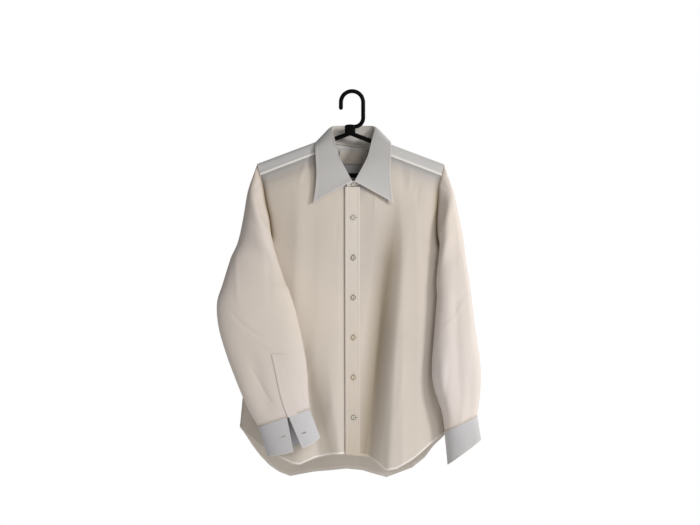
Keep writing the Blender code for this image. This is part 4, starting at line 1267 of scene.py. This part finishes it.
def cloth_finish(name):
    """The cloth finish of this name, made the first time that it is asked for.

    Each has a colour, a second tint, its stitch rows and the painted shade along its seams.
    """
    made = bpy.data.materials.get(f"shirting_{name}")
    if made:
        return made
    sizes = bpy.context.scene.shirt_cloth
    body, sleeve = sizes.body_colour, sizes.sleeve_colour
    warm, cool = sizes.warm_colour, sizes.collar_colour
    edge, top = sizes.edge_stitch, sizes.top_stitch
    hem = [("Far", 1, sizes.hem_width - edge)]
    sides = [("Cut", 0, top), ("Far", 0, top)]
    near_sides = [("Cut", 0, edge), ("Far", 0, edge)]
    ends = [("Cut", 1, edge), ("Far", 1, edge)]
    # Painted shade in the armhole's recess on the fronts
    armhole = [("Far", 0, 0.0, width, 1.0) for width in (0.019, 0.010)]
    # Painted shade along the back's sides
    back_side_shade = [(side, 0, 0.0, 0.010, 0.6) for side in ("Far", "Cut")]
    # The fourth item is painted shade: below the yoke seam and at the armhole on the fronts, along
    # the back's sides, darker towards the placket's foot, and at the sleeves' armhole and cuff
    # seams
    tones = {
        "front": (body, warm, hem, [("Cut", 1, 0.003, 0.010, 0.5), *armhole]),
        # The back's lighter colour is painted light
        "back": (sizes.back_lit_colour, warm, hem, back_side_shade),
        # The yoke's colour is darkened as painted shade
        "yoke": (sizes.yoke_shade_colour, cool, ends),
        "placket": (sizes.placket_colour, warm, sides, [("Far", 1, 0.0, 0.5, 0.45)]),
        "sleeve": (sleeve, warm, (), [("Cut", 1, 0.0, 0.012, 1.0), ("Far", 1, 0.0, 0.012, 0.5)]),
        "sleeve_placket": (sleeve, warm, near_sides + [("Cut", 1, edge)]),
        "cuff": (sizes.cuff_colour, sizes.yoke_shade_colour, sides + [("Far", 1, top), ("Cut", 1, edge)]),
        "collar": (cool, sizes.yoke_shade_colour, sides + [("Far", 1, top)]),
        "stand": (cool, body, ends[:1]),
        "label": (sizes.label_colour, warm, ends + near_sides),
        "thread": (sizes.thread_colour, warm),
        "buttonhole": (sizes.hole_colour, warm),
    }
    return cloth_material(name, *tones[name])


def sew(node, surface, across, along, thickness=None, lift=0.0, closed=False):
    """A cloth piece in the place of its solid."""
    kind = node.removesuffix("_right").removesuffix("_left")
    finish, flat, area, rests_on = CUTS[kind]
    thickness = thickness or bpy.context.scene.shirt_cloth.thickness
    look = cloth_finish(finish), lift, partial(seam_relief, node, kind), closed
    piece = add_shell(f"shirt_{node}", surface, across, along, thickness, *look)
    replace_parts(piece, node)
    rests_on = rests_on.format(side=node[len(kind) + 1 :])


class SHIRT_OT_hanger(bpy.types.Operator):
    """Add the moulded hanger: hook, neck block, and arms and bar in one loop"""

    bl_idname = "shirt.hanger"
    bl_label = "Hanger"

    def execute(self, context):
        hardware = context.scene.shirt_hardware
        sides, black = hardware.tube_sides, plastic_material(hardware.hanger_colour)
        centre_z = -(HOOK_RADIUS - ROD / 2)
        bend_z = centre_z - HOOK_RIGHT_DROP - NECK_BEND
        left = np.linspace(HOOK_LEFT_DROP - ROD / 2 - 3 * MM, 1 * MM, 5)
        right = np.linspace(centre_z - 2 * MM, bend_z + LOOSE_BEND + 2 * MM, 8)
        path = [(-HOOK_RADIUS, 0.0, centre_z - drop) for drop in left]
        path += arc(0.0, centre_z, HOOK_RADIUS, 180, 0, 41)
        path += [(HOOK_RADIUS, 0.0, z) for z in right]
        path += arc(HOOK_RADIUS - LOOSE_BEND, bend_z + LOOSE_BEND, LOOSE_BEND, 0, -90, 17)
        path += [(HANGER_X + 2 * MM, 0.0, bend_z)]
        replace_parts(round_tube("hook", path, ROD_SHOWN / 2, sides, black), "hanger_hook")

        turn_x = ARM_REACH - ARM_BEND
        radius = (ARM_TOP_Z - ARM_SLOPE * turn_x - BAR_Z) / 2
        along_arm = np.linspace(0, turn_x - radius * 0.2, 12)
        half = [(x, 0.0, ARM_TOP_Z - ARM_SLOPE * x) for x in along_arm]
        half += arc(turn_x, BAR_Z + radius, radius, 82, -90, 16)
        loop = [(HANGER_X - x, 0.0, z) for x, _, z in half]
        loop += [(HANGER_X + x, 0.0, BAR_Z) for x in np.linspace(-turn_x * 0.9, turn_x * 0.9, 12)]
        loop += [(HANGER_X + x, 0.0, z) for x, _, z in reversed(half)]
        frame_loop = round_tube("hanger_frame", loop, ARM_ROD / 2, sides, black)
        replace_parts(frame_loop, "hanger_arm_right", "hanger_arm_left", "hanger_bar")

        level, turn = np.linspace(-1, 1, 33), np.linspace(-1, 1, 33)[:-1] * math.pi
        up, turn = np.meshgrid(level, turn, indexing="ij")
        belt = (1 - np.abs(up) ** 8) ** np.where(up > 0, 0.5, 0.25)
        swings = np.cos(turn), np.sin(turn)
        x, y = (np.sign(way) * np.abs(way) ** NECK_BLOCK_POWER * belt for way in swings)
        points = np.stack([x, y, up], axis=-1) * np.array(NECK_BLOCK) / 2
        points[0, :, :2] *= 0.6
        points = points + (HANGER_X, 0, NECK_BLOCK_Z)
        block = add_mesh("hanger_neck_block", points, revolve(33, 32), black)
        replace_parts(block, "hanger_neck")
        return {"FINISHED"}


class SHIRT_OT_yoke(bpy.types.Operator):
    """Add the yoke over both shoulders, its seams lapped over the fronts and the back"""

    bl_idname = "shirt.yoke"
    bl_label = "Yoke"

    def execute(self, context):
        away = steps((0, YOKE_NECK_SHARE, 44), (YOKE_NECK_SHARE, 1, 50))
        across = np.concatenate([-away[:0:-1], away])
        down = steps((0, 0.06, 6), (0.06, 0.95, 60), (0.95, 1, 5))
        sew("yoke", yoke_surface, across, down, lift=context.scene.shirt_cloth.seam_step)
        return {"FINISHED"}


class SHIRT_OT_body(bpy.types.Operator):
    """Add the back and the two fronts, from the yoke and neck seams to the rounded hem"""

    bl_idname = "shirt.body"
    bl_label = "Back and fronts"

    def execute(self, context):
        down = steps((0, 0.94, 130), (0.94, 0.985, 12), (0.985, 1, 14))
        sew("back", back_surface, np.linspace(-1, 1, 141), down)
        across = steps((0, 0.22, 26), (0.22, 0.85, 56), (0.85, 1, 18))
        down = steps((0, 0.93, 130), (0.93, 0.985, 14), (0.985, 1, 14))
        half = PLACKET_WIDTH / 2
        sew("front_right", front_surface(-1, PLACKET_X + half - PLACKET_MARGIN, 1.0), across, down)
        sew("front_left", front_surface(1, PLACKET_X - half + LEFT_MARGIN, 0.0), across, down)
        return {"FINISHED"}


class SHIRT_OT_placket(bpy.types.Operator):
    """Add the front placket with its stitched edges"""

    bl_idname = "shirt.placket"
    bl_label = "Front placket"

    def execute(self, context):
        across = steps((0, 0.1, 6), (0.1, 0.9, 16), (0.9, 1, 6))
        down = steps((0, 0.985, 200), (0.985, 1, 8))
        sew("front_placket", placket_surface, across, down, lift=PLACKET_LIFT)
        return {"FINISHED"}


class SHIRT_OT_collar(bpy.types.Operator):
    """Add the collar: a stand that laps at the front and a fall with two long points"""

    bl_idname = "shirt.collar"
    bl_label = "Collar"

    def execute(self, context):
        doubled = context.scene.shirt_cloth.doubled
        end, tip = FRONT_STATION, COLLAR_TIP_STATION
        across = steps((-end, end, 280), (end, end + 1, 10))
        sew("collar_stand", stand_surface, across, steps((0, 1, 16)), doubled)
        across = steps((-end, -tip, 14), (-tip, tip, 150), (tip, end, 14))
        down = steps((0, 0.12, 14), (0.12, 0.94, 34), (0.94, 1, 8))
        sew("collar_fall", fall_surface, across, down, doubled)
        return {"FINISHED"}


class SHIRT_OT_label(bpy.types.Operator):
    """Add the blank neck label, stitched along its top and bottom"""

    bl_idname = "shirt.label"
    bl_label = "Neck label"

    def execute(self, context):
        across, down = steps((0, 1, 30)), steps((0, 1, 16))
        sew("neck_label", label_surface, across, down, LABEL_THICK, -LABEL_SINK)
        return {"FINISHED"}


class SHIRT_OT_sleeves(bpy.types.Operator):
    """Add the two sleeves with their plackets and cuffs"""

    bl_idname = "shirt.sleeves"
    bl_label = "Sleeves and cuffs"

    def execute(self, context):
        doubled = context.scene.shirt_cloth.doubled
        around = steps((0, 0.06, 10), (0.06, 0.94, 90), (0.94, 1, 10))
        down = steps((-0.02, 0.1, 8), (0.1, 0.9, 20), (0.9, 1, 8))
        for name, table in SLEEVES.items():
            surface, end = sleeve_surface(table), len(table["rings"])
            turns = sorted(turn_of_share(share, table["slit_in_front"]) for share in PLACKET_SHARES)
            whole = np.linspace(0, 1, 145), steps((0, end, 168))
            strip = steps((*turns, 14)), steps((PLACKET_TOP_RING, end, 60))
            sew(f"sleeve_{name}", surface, *whole, closed=True)
            sew(f"sleeve_placket_{name}", surface, *strip, lift=SLEEVE_PLACKET_LIFT)
            sew(f"cuff_{name}", cuff_surface(table), around, down, doubled, CUFF_LIFT)
        return {"FINISHED"}


class SHIRT_OT_buttons(bpy.types.Operator):
    """Add the buttons, each with its thread, and all the buttonholes"""

    bl_idname = "shirt.buttons"
    bl_label = "Buttons"

    def execute(self, context):
        hardware = context.scene.shirt_hardware
        # Rim colours: painted shade, fainter on the top button, and a painted warm reflection on
        # two
        rings = {key: hardware.warm_light_ring for key in WARM_LIT_BUTTONS}
        rings[FAINT_SHADE_BUTTON] = hardware.faint_shade_ring
        places = []
        for k in range(BUTTONS):
            z = FIRST_BUTTON_Z - k * BUTTON_STEP
            face, above = body_point(np.full(2, COLLAR_X), np.array([z, z + MM]), -1)
            places.append((f"button_{k + 1}", face, above, PLACKET_LIFT + BUTTON_LIFT, BUTTON))
        station = np.full(2, FRONT_STATION + COLLAR_BUTTON_PAST)
        tab, above = stand_surface(station, np.array(COLLAR_BUTTON_SHARES))
        places.append(("collar_button", tab, above, COLLAR_BUTTON_LIFT, COLLAR_BUTTON))
        for name, face, above, height, diameter in places:
            facing = unit(np.cross(above - face, np.array([-1.0, 0.0, 0.0])))
            centre, radius = face + facing * height, diameter / 2
            tones = hardware.button_colour, rings.get(name, hardware.button_shade_ring)
            shell = button_material(f"shell_{name}", *tones, centre.tolist(), radius)
            button = turned_button(f"shirt_{name}", centre, facing, radius, BUTTON_THICK, 48, shell)
            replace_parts(button, name)
            top = centre + facing * BUTTON_THICK * BUTTON_PROFILE[-1][1]
            spread = diameter * THREAD_SPREAD
            button_stitches(f"shirt_{name}_thread", top, facing, spread, cloth_finish("thread"))
            level = name in LEVEL_BUTTONHOLES
            run = np.array([1.0, 0.0, 0.0]) if level else unit(above - face)
            buttonhole(f"shirt_{name}_hole", centre - HOLE_SINK * facing, run, facing)
        for name, table in SLEEVES.items():
            surface = cuff_surface({**table, "cuff_sag": 0.0})
            for key, across, along in CUFF_HOLES:
                face, run, facing = place_on(surface, across, along)
                centre = face + CUFF_HOLE_LIFT * facing
                buttonhole(f"shirt_cuff_{name}_hole_{key}", centre, run, facing, CUFF_HOLE_SHARE)
        return {"FINISHED"}


class SHIRT_OT_stage(bpy.types.Operator):
    """Add the pale floor, the soft lights and the camera"""

    bl_idname = "shirt.stage"
    bl_label = "Stage"

    def execute(self, context):
        scene = context.scene
        stage = scene.shirt_stage
        centre = np.array([[0.0, 0.0, stage.floor_z]] * 2)
        radius = np.array([0.02, 1.0]) * stage.floor_radius
        points = round_rings(centre, *np.eye(3)[:2], radius, 96)
        card = stage_material("stage_card", stage.colour)
        add_mesh("stage_floor", points, revolve(2, 96)[:-1], card)

        for name, power, place, size in (
            ("key_light", stage.key, (2.6, -2.4, 0.9), 0.7),
            ("fill_light", stage.fill, (1.6, -3.4, 1.2), 1.2),
            ("back_light", stage.back, (3.0, 2.2, 0.9), 1.2),
        ):
            light = bpy.data.lights.new(name, "AREA")
            light.energy, light.size = power, size
            lamp = bpy.data.objects.new(name, light)
            lamp.location = place
            aim = Vector(LIGHT_TARGET) - lamp.location
            lamp.rotation_euler = aim.to_track_quat("-Z", "Y").to_euler()
            scene.collection.objects.link(lamp)

        scene.world = bpy.data.worlds.new("soft_air")
        scene.world.use_nodes = True
        tree = scene.world.node_tree
        air = tree.nodes["Background"]
        air.inputs["Color"].default_value = (1, 1, 1, 1)
        seen = add_node(tree, "ShaderNodeLightPath").outputs["Is Camera Ray"]
        strength = calc(tree, "MULTIPLY_ADD", seen, 1.0 - stage.air, stage.air)
        tree.links.new(strength, air.inputs["Strength"])
        scene.view_settings.view_transform = "Standard"

        camera = bpy.data.cameras.new("camera")
        camera.sensor_width = SENSOR_WIDTH
        camera.lens = camera.sensor_width * (stage.distance - FRONT_DEPTH) / stage.frame_width
        view = bpy.data.objects.new("camera", camera)
        view.location = (CAMERA_X, -stage.distance, CAMERA_Z)
        view.rotation_euler = (math.radians(90), 0, 0)
        scene.collection.objects.link(view)
        scene.camera = view
        return {"FINISHED"}


PIECES = (
    SHIRT_OT_hanger,
    SHIRT_OT_yoke,
    SHIRT_OT_body,
    SHIRT_OT_placket,
    SHIRT_OT_collar,
    SHIRT_OT_label,
    SHIRT_OT_sleeves,
    SHIRT_OT_buttons,
    SHIRT_OT_stage,
)


class SHIRT_PT_sidebar(bpy.types.Panel):
    """The shirt's pieces and settings"""

    bl_idname = "SHIRT_PT_sidebar"
    bl_label = "Shirt on a hanger"
    bl_space_type = "VIEW_3D"
    bl_region_type = "UI"
    bl_category = "Shirt"

    def draw(self, context):
        for piece in PIECES:
            self.layout.operator(piece.bl_idname)
        for name in SETTINGS:
            box = self.layout.box()
            group = getattr(context.scene, name)
            for key in SETTINGS[name].__annotations__:
                box.prop(group, key)


SETTINGS = {
    "shirt_cloth": ShirtClothSettings,
    "shirt_hardware": ShirtHardwareSettings,
    "shirt_stage": ShirtStageSettings,
}
CLASSES = (*SETTINGS.values(), *PIECES, SHIRT_PT_sidebar)


def register():
    """Adds the classes and puts the settings on the scene."""
    for item in CLASSES:
        bpy.utils.register_class(item)
    for name, group in SETTINGS.items():
        setattr(bpy.types.Scene, name, PointerProperty(type=group))


def unregister():
    """Takes the settings and the classes away again."""
    for name in SETTINGS:
        delattr(bpy.types.Scene, name)
    for item in reversed(CLASSES):
        bpy.utils.unregister_class(item)


def main():
    """Registers the add-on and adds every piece."""
    register()
    for piece in PIECES:
        area, call = piece.bl_idname.split(".")
        getattr(getattr(bpy.ops, area), call)()


if __name__ == "__main__":
    main()
